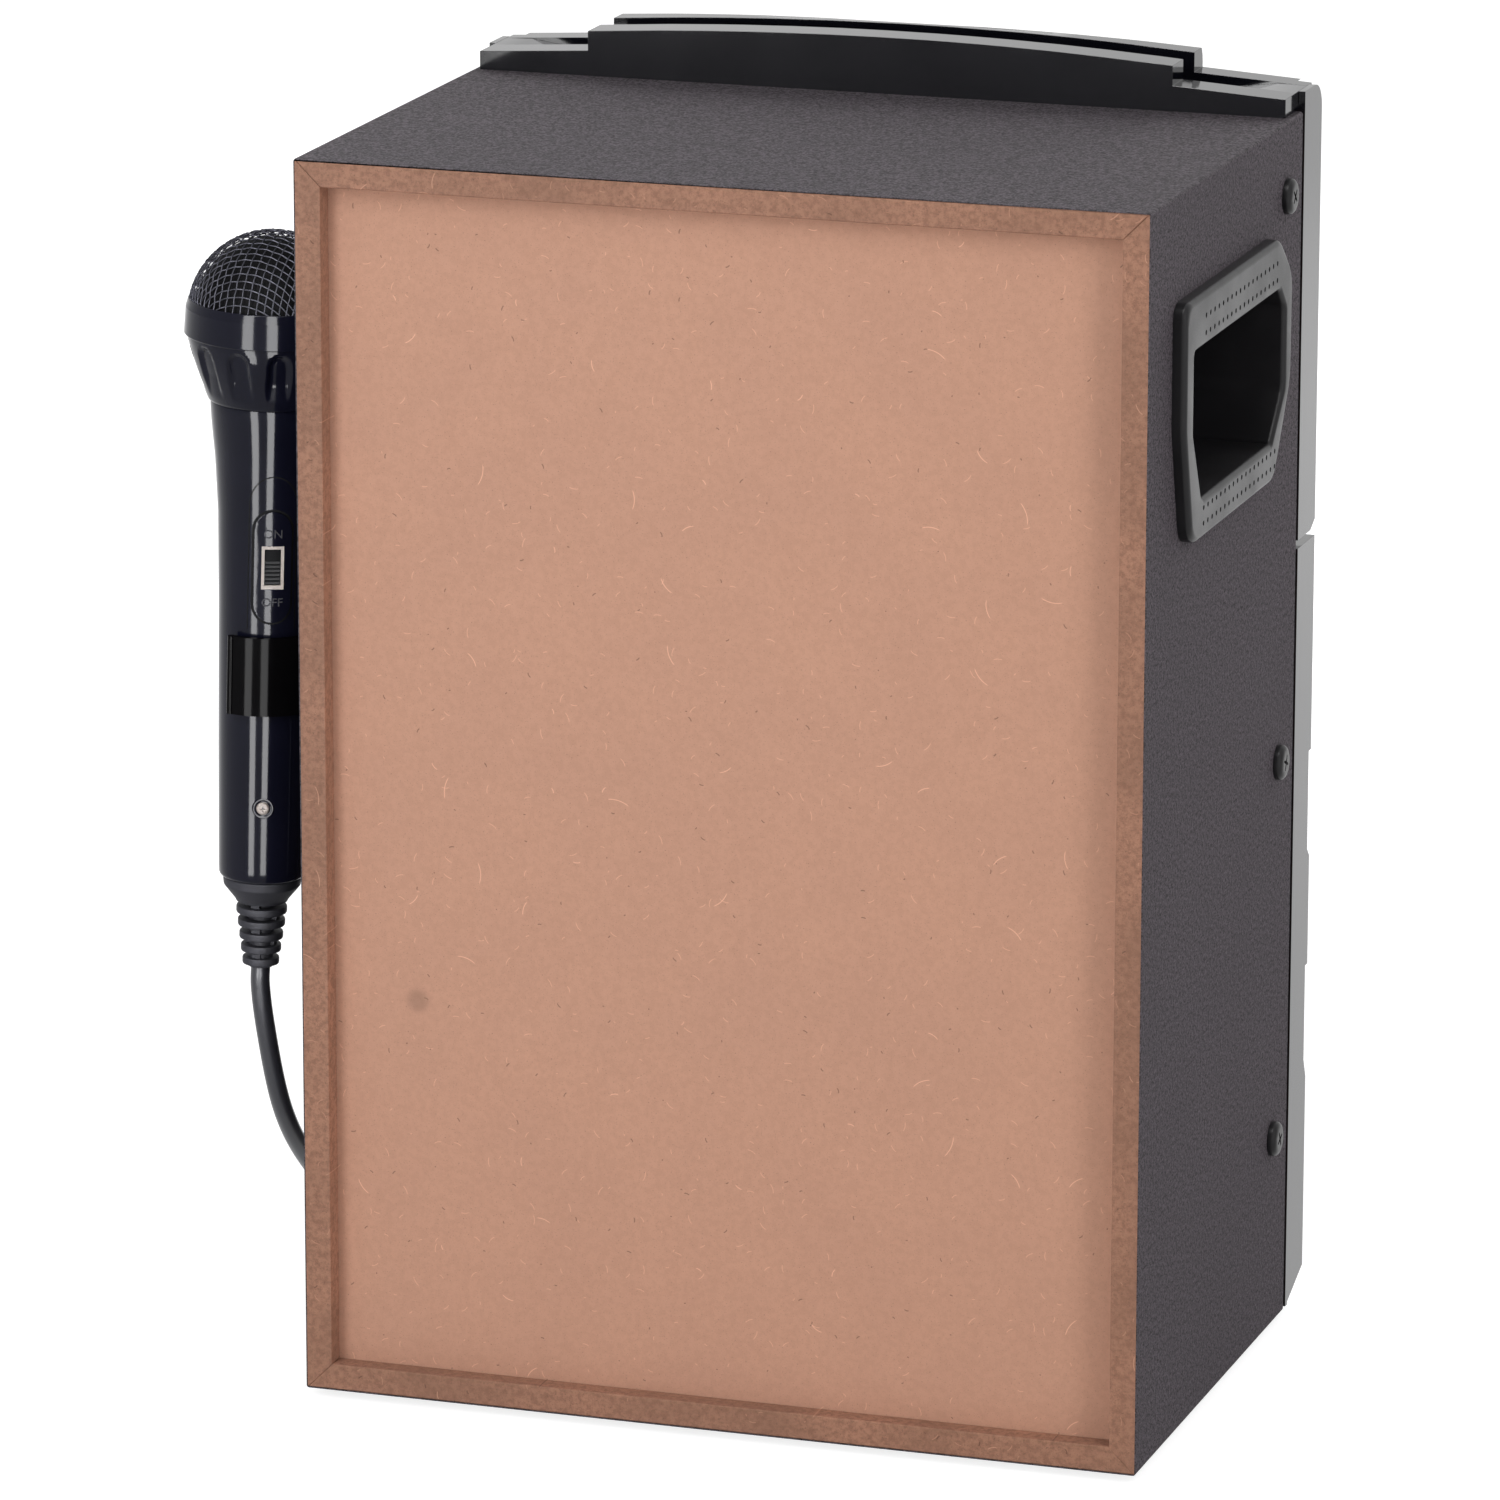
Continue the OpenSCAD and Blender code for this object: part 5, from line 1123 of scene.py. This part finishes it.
    def ball(self) -> None:
        """Makes the woven ball over its foam."""
        shell = self.ball_r - self.wire_r * 1.6
        knots = self.net(shell, 18)
        data = bpy.data.curves.new("mic_ball_wires", "CURVE")
        data.dimensions, data.bevel_depth, data.bevel_resolution = "3D", self.wire_r, 1
        lowest = self.handle + self.collar - 2.2
        spin = self.towards(0) @ Matrix.Rotation(math.radians(-2.0), 4, "Z")
        for family in (0, 1):
            for line in range(-17, 18):
                run: list[Vector] = []
                for k in range(-17, 18):
                    key = (k, line) if family == 0 else (line, k)
                    knot = knots.get(key)
                    sign = 1 if (k + line + family) % 2 else -1
                    if knot is None:
                        self.wire(data, run)
                        run = []
                        continue
                    out = knot * (shell + sign * self.wire_r * 0.8)
                    place = spin @ out + Vector((0, 0, self.ball_h))
                    if place.z < lowest:
                        self.wire(data, run)
                        run = []
                        continue
                    run.append(place)
                self.wire(data, run)
        wires = bpy.data.objects.new("mic_ball_wires", data)
        bpy.context.scene.collection.objects.link(wires)
        mesh = bpy.data.meshes.new_from_object(wires)
        bpy.data.objects.remove(wires)
        bm = bmesh.new()
        bm.from_mesh(mesh)
        woven = moved(bm, self.place())
        finished("mic_ball_woven", woven, Finishes.MESH, self.body, ["mic_grille"], 70, False)
        foam_r = self.ball_r - 2.4
        curve = arc(foam_r, range(-8, 91, 4), (0.0, self.ball_h))
        foam = lathe([(0, curve[0][1]), *curve[:-1], (0, self.ball_h + foam_r)], 96)
        finished("mic_ball_foam", moved(foam, self.place()), Finishes.FOAM, self.body)

    @staticmethod
    def wire(data: bpy.types.Curve, run: list[Vector]) -> None:
        """Adds one woven wire through its knots."""
        if len(run) < 2:
            return
        spline = data.splines.new("BEZIER")
        spline.bezier_points.add(len(run) - 1)
        spline.resolution_u = 3
        for point, place in zip(spline.bezier_points, run):
            point.co = place
            point.handle_left_type = point.handle_right_type = "AUTO"

    def bent(self, bm: bmesh.types.BMesh, out: float) -> bmesh.types.BMesh:
        """Bends a plate round the handle on the switch's side.

        Args:
            bm: The plate; x runs round the handle, y up it and z out of it.
            out: How far its z = 0 stands off the skin.

        Returns:
            The plate in place.
        """
        cuts = [((x, 0, 0), (1, 0, 0)) for x in range(-9, 10)]
        cuts += [((0, y, 0), (0, 1, 0)) for y in range(4, 150, 6)]
        for place, normal in cuts:
            whole = [*bm.verts, *bm.edges, *bm.faces]
            bmesh.ops.bisect_plane(bm, geom=whole, plane_co=place, plane_no=normal)
        for v in bm.verts:
            height = v.co.y
            radius = self.handle_r(height) + out
            angle = v.co.x / radius
            v.co = Vector(((radius + v.co.z) * math.cos(angle), (radius + v.co.z) * math.sin(angle), height))
        return moved(bm, self.place() @ self.towards(self.switch_turn))

    @staticmethod
    def tray(loops: Sequence[Sequence[Point]], thick: float) -> bmesh.types.BMesh:
        """Returns a plate with holes, its rims turned down."""
        bm, _ = sheet_with_holes(loops)
        pushed(bm, [e for e in bm.edges if len(e.link_faces) == 1], thick)
        bmesh.ops.recalc_face_normals(bm, faces=bm.faces)
        return bm

    def inlay(self, name: str, loops: Sequence[Sequence[Point]], out: float, thick: float, finish: Finish,
              bevel: float = 0.0) -> None:
        """Lays a plate with holes on the handle, its rims turned down into the skin."""
        bm = self.tray(loops, thick)
        if bevel:
            round_over(bm, bevel, 2, lambda e: e.verts[0].co.z > -1e-6 and e.verts[1].co.z > -1e-6)
        finished(name, self.bent(bm, out), finish, self.body, sharp=40)

    @staticmethod
    def stadium(half: float, low: float, high: float) -> list[Point]:
        """Returns the outline of a plate with round ends."""
        top = arc(half, range(0, 181, 12), (0.0, high - half))
        return top + arc(half, range(180, 361, 12), (0.0, low + half))

    @staticmethod
    def window(half: float, low: float, high: float) -> list[Point]:
        """Returns the outline of the switch's window."""
        return [(half, low), (half, high), (-half, high), (-half, low)]

    @staticmethod
    def arch(half: float, low: float, spring: float, crown: float, wide: float) -> list[Point]:
        """Returns a lip's outline: up one leg, over an arch, down the other and back inside."""
        over = arc(half, range(0, 181, 10), (0.0, spring), crown - spring)
        under = arc(half - wide, range(180, -1, -10), (0.0, spring), crown - spring - wide)
        return [(half, low), *over, (-half, low), (wide - half, low), *under, (half - wide, low)]

    def switch(self) -> None:
        """Makes the switch in its cover, a near-black sheet as painted shade of the gap round it, the words,
        the lips about them (the arch lip near-black, as painted shade of the cover's seam) and the foot's
        screw.
        """
        mid = self.switch_mid
        outline, hole = self.stadium(6.7, mid - 20.2, mid + 19.8), self.window(3.9, mid - 8, mid + 7.4)
        turned = self.place() @ self.towards(self.switch_turn)
        # Painted shade: the arch lip is near-black so that it draws the dark line of the cover's seam.
        lip = self.arch(8.8, self.clip_high, 138.0, 148.5, 0.4)
        self.inlay("mic_inlay_painted_seam_shade", [lip], 0.06, 0.5, Finishes.PAINTED_SHADE)
        for side, name in ((-1, "left"), (1, "right")):
            leg = [(side * 8.3 + x, y) for x, y in (
                (-0.25, 3.0), (0.25, 3.0), (0.25, self.clip_low), (-0.25, self.clip_low))]
            self.inlay(f"mic_foot_lip_{name}", [leg], 0.1, 0.5, Finishes.MIC)
        # Painted shade: a near-black sheet just under the cover and larger than it stands for the shade in
        # the gap round the cover.
        self.inlay("mic_switch_painted_gap_shade", [self.stadium(7.5, mid - 21.0, mid + 20.6)], 0.05, 0.4, Finishes.PAINTED_SHADE)
        self.inlay("mic_switch_cover", [outline, hole], 0.8, 1.2, Finishes.MIC, 0.35)
        flat = Matrix(((0, 0, 1, self.handle_r(mid) + 0.6), (1, 0, 0, 0), (0, 1, 0, 0), (0, 0, 0, 1)))
        frame = moved(self.tray([hole, self.window(2.9, mid - 6.6, mid + 6.3)], 2.0), turned @ flat)
        finished("mic_switch_frame", frame, Finishes.FRAME, self.body, ["mic_switch_plate"])
        low = mid - 6.4
        ribs: list[Point] = []
        for k in range(6):
            base = low + k * 1.45
            ribs += [(16.9, base), (17.75, base + 0.25), (17.75, base + 0.95), (16.9, base + 1.2)]
        ribbed = slab([(14.3, low), *ribs, (16.9, low + 8.8), (14.3, low + 8.8)], 5.2)
        stand = Matrix(((1, 0, 0, 0), (0, 0, 1, -2.6), (0, 1, 0, 0), (0, 0, 0, 1)))
        slider = moved(moved(ribbed, stand), turned)
        finished("mic_switch_ribbed", slider, Finishes.SLIDER, "mic_switch", ["mic_switch"])
        for word, height in (("ON", mid + 10.4), ("OFF", mid - 14.2)):
            self.word(word, height)
        screw = moved(pan_head(2.3), self.on_skin(self.screw_h, -0.5))
        finished("mic_foot_screw", screw, Finishes.FRAME, self.body)
        ring = lathe([(2.5, -0.6), (2.6, 0.1), (3.0, 0.28), (3.6, 0.2), (3.9, -0.6)], 40, closed=True)
        finished("mic_screw_ring", moved(ring, self.on_skin(self.screw_h, 0.0)), Finishes.MIC, self.body)

    def on_skin(self, height: float, out: float) -> Matrix:
        """Returns a place on the handle's skin in line with the foot's screw, its z standing out."""
        turn = Matrix.Rotation(math.pi / 2, 4, "Y")
        here = Matrix.Translation((self.handle_r(height) + out, 0, height))
        return self.place() @ self.towards(self.screw_turn) @ here @ turn

    def word(self, word: str, height: float) -> None:
        """Raises ON or OFF on the switch cover."""
        data = bpy.data.curves.new(word, "FONT")
        data.body, data.size, data.extrude, data.align_x = word, 4.3, 0.25, "CENTER"
        text = bpy.data.objects.new(word, data)
        bpy.context.scene.collection.objects.link(text)
        mesh = bpy.data.meshes.new_from_object(text)
        bpy.data.objects.remove(text)
        bm = bmesh.new()
        bm.from_mesh(mesh)
        bmesh.ops.translate(bm, verts=bm.verts, vec=(0, height, 0))
        finished(f"mic_word_{word.lower()}", self.bent(bm, 0.8), Finishes.MIC_SOFT, self.body)

    def strain_relief(self) -> None:
        """Makes the bell and the ribbed sleeve, its ribs joined by bridges in turn."""
        bell = fillet([(0, 0.3, 0), (4.0, 0.3, 0), (14.0, -0.2, 0.6), (13.6, -3.4, 1.5), (9.6, -8.4, 2.0),
                       (9.0, -9.6, 0.4), (4.2, -9.6, 0), (0, -9.6, 0)], 4, closed=False)
        parts = [lathe(bell, 72), lathe([(0, -9.0), (4.9, -9.0), (4.3, -33.6), (0, -33.6)], 40)]
        for k in range(5):
            high = -11.2 - k * 4.7
            wide = 9.0 - k * 0.62
            parts.append(lathe(fillet([(3.8, high, 0), (wide, high, 0.5), (wide, high - 2.7, 0.6),
                                       (3.8, high - 2.7, 0)], 2), 48))
            bridge = bmesh.new()
            bmesh.ops.create_cube(bridge, size=1.0)
            bmesh.ops.scale(bridge, vec=(3.2, wide * 1.5, 2.4), verts=bridge.verts)
            turn = Matrix.Rotation(math.radians(90 * (k % 2)), 4, "Z")
            parts.append(moved(bridge, Matrix.Translation((0, 0, high + 0.9)) @ turn))
        whole = moved(stacked(*parts), self.place())
        finished("mic_relief_ribbed", whole, Finishes.MIC_SOFT, self.body, ["mic_relief"])

    def band(self) -> None:
        """Makes the band that grips the handle, on its arm and base."""
        eased("mic_clip", Finishes.BAND, "cabinet", 0.35)


# ---------- box ----------


@dataclass
class Cabinet:
    """The wrapped box, its back panel, feet and screws."""

    half_w: float = 150.0
    top: float = 435.0
    screw_y: float = -76.0
    screw_drops: tuple[float, ...] = (26.0, 227.5, 365.0)
    head_r: float = 6.25
    body: str = "cabinet"

    def build(self) -> None:
        """Dresses the boards and makes the film, the feet and the screws."""
        for board in ("side_panel_left", "side_panel_right", "top_panel", "bottom_panel"):
            eased(board, Finishes.EDGE, self.body, 0.4, 1)
        painted(Finishes.BOARD, "back_panel")
        self.film()
        eased("rubber_feet", Finishes.FEET, self.body, 0.8, 3)
        self.screws()

    def film(self) -> None:
        """Rounds the film over the long edges of the box."""

        def long_edge(edge: bmesh.types.BMEdge) -> bool:
            """Tells whether an edge is one of the box's four long ones."""
            a, b = (v.co for v in edge.verts)
            outside = abs(abs(a.x) - self.half_w) < 0.01 and (abs(a.z) < 0.01 or abs(a.z - self.top) < 0.01)
            return abs(a.y - b.y) > 100 and outside

        eased("vinyl_wrap", Finishes.WRAP, self.body, 0.9, 3, long_edge)

    def screws(self) -> None:
        """Screws the front on through the sides."""
        places = []
        for side, out in ((-1, "-X"), (1, "+X")):
            for drop in self.screw_drops:
                turn = Matrix.Rotation(math.radians(20 + drop), 4, "Z")
                places.append(facing(side * self.half_w, self.screw_y, self.top - drop, out) @ turn)
        screws = copies(pan_head(self.head_r), places)
        finished("side_screws", screws, Finishes.SCREW, self.body, ["fascia_screws"])


@dataclass
class GripCup:
    """A grip cup; u runs forwards from the rim's rear end and v down from its top."""

    side: int
    half_w: float = 150.0
    rear: float = 68.0
    top: float = 399.0
    length: float = 136.0
    height: float = 84.0
    rim_t: float = 5.0
    depth: float = 42.0
    rows: tuple[float, ...] = (7.7, 13.6, 73.4, 78.8)
    row_ends: Point = (23.8, 114.7)
    per_row: int = 18
    dimple_r: float = 0.95
    ease: float = 2.1
    last_out: float = 2.0

    def outline(self) -> list[Point]:
        """Returns the rim's outline."""
        n, h = self.length, self.height
        return fillet([(0, 0, 6), (n - 16, 0, 10), (n, 14, 12), (n - 0.5, 52, 20), (n - 21, h, 9), (10, h, 9),
                       (0, 43, 20)], 5)

    def mouth(self, out: float = 0.0) -> list[Point]:
        """Returns the mouth's outline, grown by a margin."""
        n, h = self.length, self.height
        return fillet([(10.5 - out, 18 - out, 3), (n - 16, 18 - out, 5), (n - 9 + out, 25, 5),
                       (n - 9 + out, 54, 8), (n - 25, h - 14 + out, 3), (21, h - 14 + out, 5),
                       (10.5 - out, 46, 8)], 4)

    def build(self) -> None:
        """Makes the rim with its dimples and the cup behind its mouth."""
        gap = (self.row_ends[1] - self.row_ends[0]) / (self.per_row - 1)
        dots = [arc(self.dimple_r, range(0, 360, 45), (self.row_ends[0] + gap * k, v))
                for v in self.rows for k in range(self.per_row)]
        outline = self.outline()
        half_n, half_h = self.length / 2, self.height / 2
        shrunk = [(half_n + (u - half_n) * (1 - self.ease / half_n),
                   half_h + (v - half_h) * (1 - self.ease / half_h)) for u, v in outline]
        bm, rims = sheet_with_holes([shrunk, self.mouth(self.last_out), *dots])
        for dot in rims[2:]:
            floor = pushed(bm, dot, 0.9, 0.8)
            bmesh.ops.holes_fill(bm, edges=floor)
        self.roll_out(bm, rims[0], outline, shrunk)
        self.cup(bm, rims[1])
        bmesh.ops.recalc_face_normals(bm, faces=bm.faces)
        place = Matrix(((0, 0, self.side, self.side * (self.half_w + self.rim_t)), (-1, 0, 0, self.rear),
                        (0, -1, 0, self.top), (0, 0, 0, 1)))
        name = "grip_cup_right" if self.side > 0 else "grip_cup_left"
        finished(name + "_moulded", moved(bm, place), Finishes.CUP, "cabinet", [name], sharp=38)

    def roll_out(self, bm: bmesh.types.BMesh, rim: list[bmesh.types.BMEdge], outline: list[Point],
                 shrunk: list[Point]) -> None:
        """Rolls the rim's edge over to the side of the box."""
        current, steps = rim, 5
        where = {(round(x, 3), round(y, 3)): i for i, (x, y) in enumerate(shrunk)}
        for k in range(1, steps + 2):
            made = bmesh.ops.extrude_edge_only(bm, edges=current)["geom"]
            for v in (g for g in made if isinstance(g, bmesh.types.BMVert)):
                if k == 1:
                    index = where[round(v.co.x, 3), round(v.co.y, 3)]
                else:
                    back = math.cos(math.pi / 2 * min(k - 1, steps) / steps)
                    index = min(range(len(outline)), key=lambda i: (
                        Vector(outline[i]).lerp(Vector(shrunk[i]), back) - v.co.xy).length)
                share = math.sin(math.pi / 2 * min(k, steps) / steps)
                flat = Vector(shrunk[index]).lerp(Vector(outline[index]), share)
                drop = self.rim_t - 0.05 if k > steps else self.ease * (1 - math.cos(math.pi / 2 * k / steps))
                v.co = Vector((*flat, -drop))
            current = [g for g in made if isinstance(g, bmesh.types.BMEdge) and len(g.link_faces) == 1]

    def cup(self, bm: bmesh.types.BMesh, rim: list[bmesh.types.BMEdge]) -> None:
        """Rolls the mouth's edge in and closes the cup behind it."""
        current = rim
        for k in range(1, 5):
            turn = math.pi / 2 * k / 4
            current = self.drawn(bm, current, 2.0 * (1 - math.sin(turn)), -2.0 * (1 - math.cos(turn)))
        current = self.drawn(bm, current, 0.0, 3.0 - self.rim_t - self.depth)
        current = self.drawn(bm, current, -2.0, 2.0 - self.rim_t - self.depth)
        bmesh.ops.holes_fill(bm, edges=current)

    def drawn(self, bm: bmesh.types.BMesh, rim: list[bmesh.types.BMEdge], out: float, z: float,
              ) -> list[bmesh.types.BMEdge]:
        """Extrudes the mouth's loop to a new margin and depth."""
        made = bmesh.ops.extrude_edge_only(bm, edges=rim)["geom"]
        target = [Vector(p) for p in self.mouth(out)]
        before = [Vector(p) for p in self.mouth(self.last_out)]
        for v in (g for g in made if isinstance(g, bmesh.types.BMVert)):
            index = min(range(len(before)), key=lambda i: (before[i] - v.co.xy).length)
            v.co = Vector((*target[index], z))
        self.last_out = out
        return [g for g in made if isinstance(g, bmesh.types.BMEdge) and len(g.link_faces) == 1]


# ---------- front ----------


@dataclass
class Front:
    """The moulded front: two shells, the cradle, the lens and the speaker panel."""

    body: str = "cabinet"

    def build(self) -> None:
        """Dresses the front's pieces."""
        eased("upper_fascia", Finishes.SHELL, self.body, 0.5)
        eased("lower_fascia", Finishes.SHELL, self.body, 0.5)
        eased("tablet_cradle", Finishes.CRADLE, self.body, 1.0, 3)
        eased("screen_lens", Finishes.LENS, self.body, 0.3)
        painted(Finishes.DISPLAY, "lcd_module")
        eased("light_rings", Finishes.LIGHT, self.body, 0.3)
        painted(Finishes.GRILLE, "speaker_grilles")
        painted(Finishes.BASKET, "speaker_frames")
        painted(Finishes.ROLL, "speaker_surrounds")
        painted(Finishes.CONE, "speaker_cone_left", "speaker_cone_right")


@dataclass
class Controls:
    """Knobs, buttons, sockets and boards."""

    body: str = "cabinet"

    def build(self) -> None:
        """Dresses the controls."""
        for name in ("knob_mic", "knob_echo", "knob_music"):
            eased(name, Finishes.SILVER, name, 0.5, 3)
        for name in ("previous_button", "play_button", "next_button", "eject_button"):
            eased(name, Finishes.SILVER, name, 0.4, 3)
        eased("power_button", Finishes.RED, "power_button", 0.4, 3)
        painted(Finishes.BASKET, "potentiometers")
        painted(Finishes.BOARD_GREEN, "control_board", "main_board")
        painted(Finishes.SOCKET, "socket_board")


@dataclass
class Prints:
    """The signs on the buttons, the lines on the knobs and the dots round them."""

    thick: float = 0.12
    knob_face: float = 137.4
    groove: float = 0.6
    dot_ring: float = 18.2
    dot_r: float = 0.75
    front_y: float = 122.0
    knobs: tuple[tuple[str, float], ...] = (("knob_mic", -90.0), ("knob_echo", 0.0), ("knob_music", 90.0))
    knob_z: float = 142.0

    def build(self) -> None:
        """Prints every sign."""
        self.sign("previous_button", [self.arrow(-1, 1.2), self.bar(-2.2)], 1.0)
        self.sign("play_button", [self.arrow(1, -1.6), self.bar(1.7), self.bar(3.5)], 1.25)
        self.sign("next_button", [self.arrow(1, -1.2), self.bar(2.2)], 1.0)
        roof = [(-2.9, -0.5), (2.9, -0.5), (0.0, 3.1)]
        sill = [(-2.9, -2.7), (2.9, -2.7), (2.9, -1.5), (-2.9, -1.5)]
        self.sign("eject_button", [roof, sill], 1.0)
        stroke = [(-0.45, 0.2), (0.45, 0.2), (0.45, 3.0), (-0.45, 3.0)]
        self.sign("power_button", [stroke, self.open_ring()], 1.0)
        for name, x in self.knobs:
            self.line(name, x)
        self.dots()

    @staticmethod
    def arrow(way: int, shift: float) -> list[Point]:
        """Returns a triangle that points right or left."""
        return [(shift - way * 1.7, -2.5), (shift + way * 2.5, 0.0), (shift - way * 1.7, 2.5)]

    @staticmethod
    def bar(x: float) -> list[Point]:
        """Returns an upright bar."""
        return [(x - 0.5, -2.5), (x + 0.5, -2.5), (x + 0.5, 2.5), (x - 0.5, 2.5)]

    @staticmethod
    def open_ring() -> list[Point]:
        """Returns a ring that is open at its top."""
        turns = range(125, 416, 10)
        return arc(3.0, turns) + arc(2.2, reversed(turns))

    def sign(self, node: str, shapes: Sequence[Sequence[Point]], scale: float) -> None:
        """Prints shapes on a button's face.

        Args:
            node: The button, which is also the body that carries the print.
            shapes: Their outlines about the button's middle, in millimetres.
            scale: How much larger they are made.
        """
        low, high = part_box(node)
        place = facing((low.x + high.x) / 2 / MM, low.y / MM + 0.05, (low.z + high.z) / 2 / MM, "-Y")
        parts = [slab([(x * scale, y * scale) for x, y in shape], self.thick) for shape in shapes]
        finished(node.replace("button", "sign"), moved(stacked(*parts), place), Finishes.SIGN, node)

    def line(self, node: str, x: float) -> None:
        """Fills the groove of a knob's pointer with dark paint."""
        outline = fillet([(-0.66, 4.05, 0.3), (0.66, 4.05, 0.3), (0.66, 10.95, 0.3), (-0.66, 10.95, 0.3)], 3)
        place = facing(x, self.groove + 0.05 - self.knob_face, self.knob_z, "-Y")
        line = moved(slab(outline, self.groove - 0.1), place)
        finished(node.replace("knob", "line"), line, Finishes.SIGN, node)

    def dots(self) -> None:
        """Prints a scale of dots round every knob, larger at its middle and its ends."""
        parts = []
        for _, x in self.knobs:
            for k in range(-5, 6):
                turn = math.radians(28 * k)
                ring = arc(self.dot_r * (1.35 if k in (-5, 0, 5) else 1.0), range(0, 360, 24))
                place = facing(x + self.dot_ring * math.sin(turn), 0.05 - self.front_y,
                               self.knob_z + self.dot_ring * math.cos(turn), "-Y")
                parts.append(moved(slab(ring, self.thick), place))
        finished("knob_dots", stacked(*parts), Finishes.MARK, "cabinet")


@dataclass
class DiscLoader:
    """The disc tray and its works."""

    body: str = "cabinet"

    def build(self) -> None:
        """Dresses the loader."""
        eased("disc_tray", Finishes.MECH, "tray", 0.3)
        eased("tray_front", Finishes.SHELL, "tray", 0.6, 3)
        painted(Finishes.STEEL, "loader_bracket", "loader_motor", "clamp_bridge", "traverse_motors")
        painted(Finishes.MECH, "loader_chassis", "traverse_frame", "turntable", "pickup_sled")
        painted(Finishes.NYLON, "tray_gear", "motor_pulley", "clamp_puck")
        painted(Finishes.BELT, "drive_belt")
        painted(Finishes.ROD, "guide_rods", "lead_screw")


def main() -> None:
    """Builds the studio and the machine."""
    logging.basicConfig(level=logging.INFO, format="%(message)s")
    Machine.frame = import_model()
    Studio().build()
    MicrophoneCord().build()
    Microphone().build()
    Cabinet().build()
    for side in (-1, 1):
        GripCup(side).build()
    Front().build()
    Controls().build()
    Prints().build()
    DiscLoader().build()


if __name__ == "__main__":
    main()
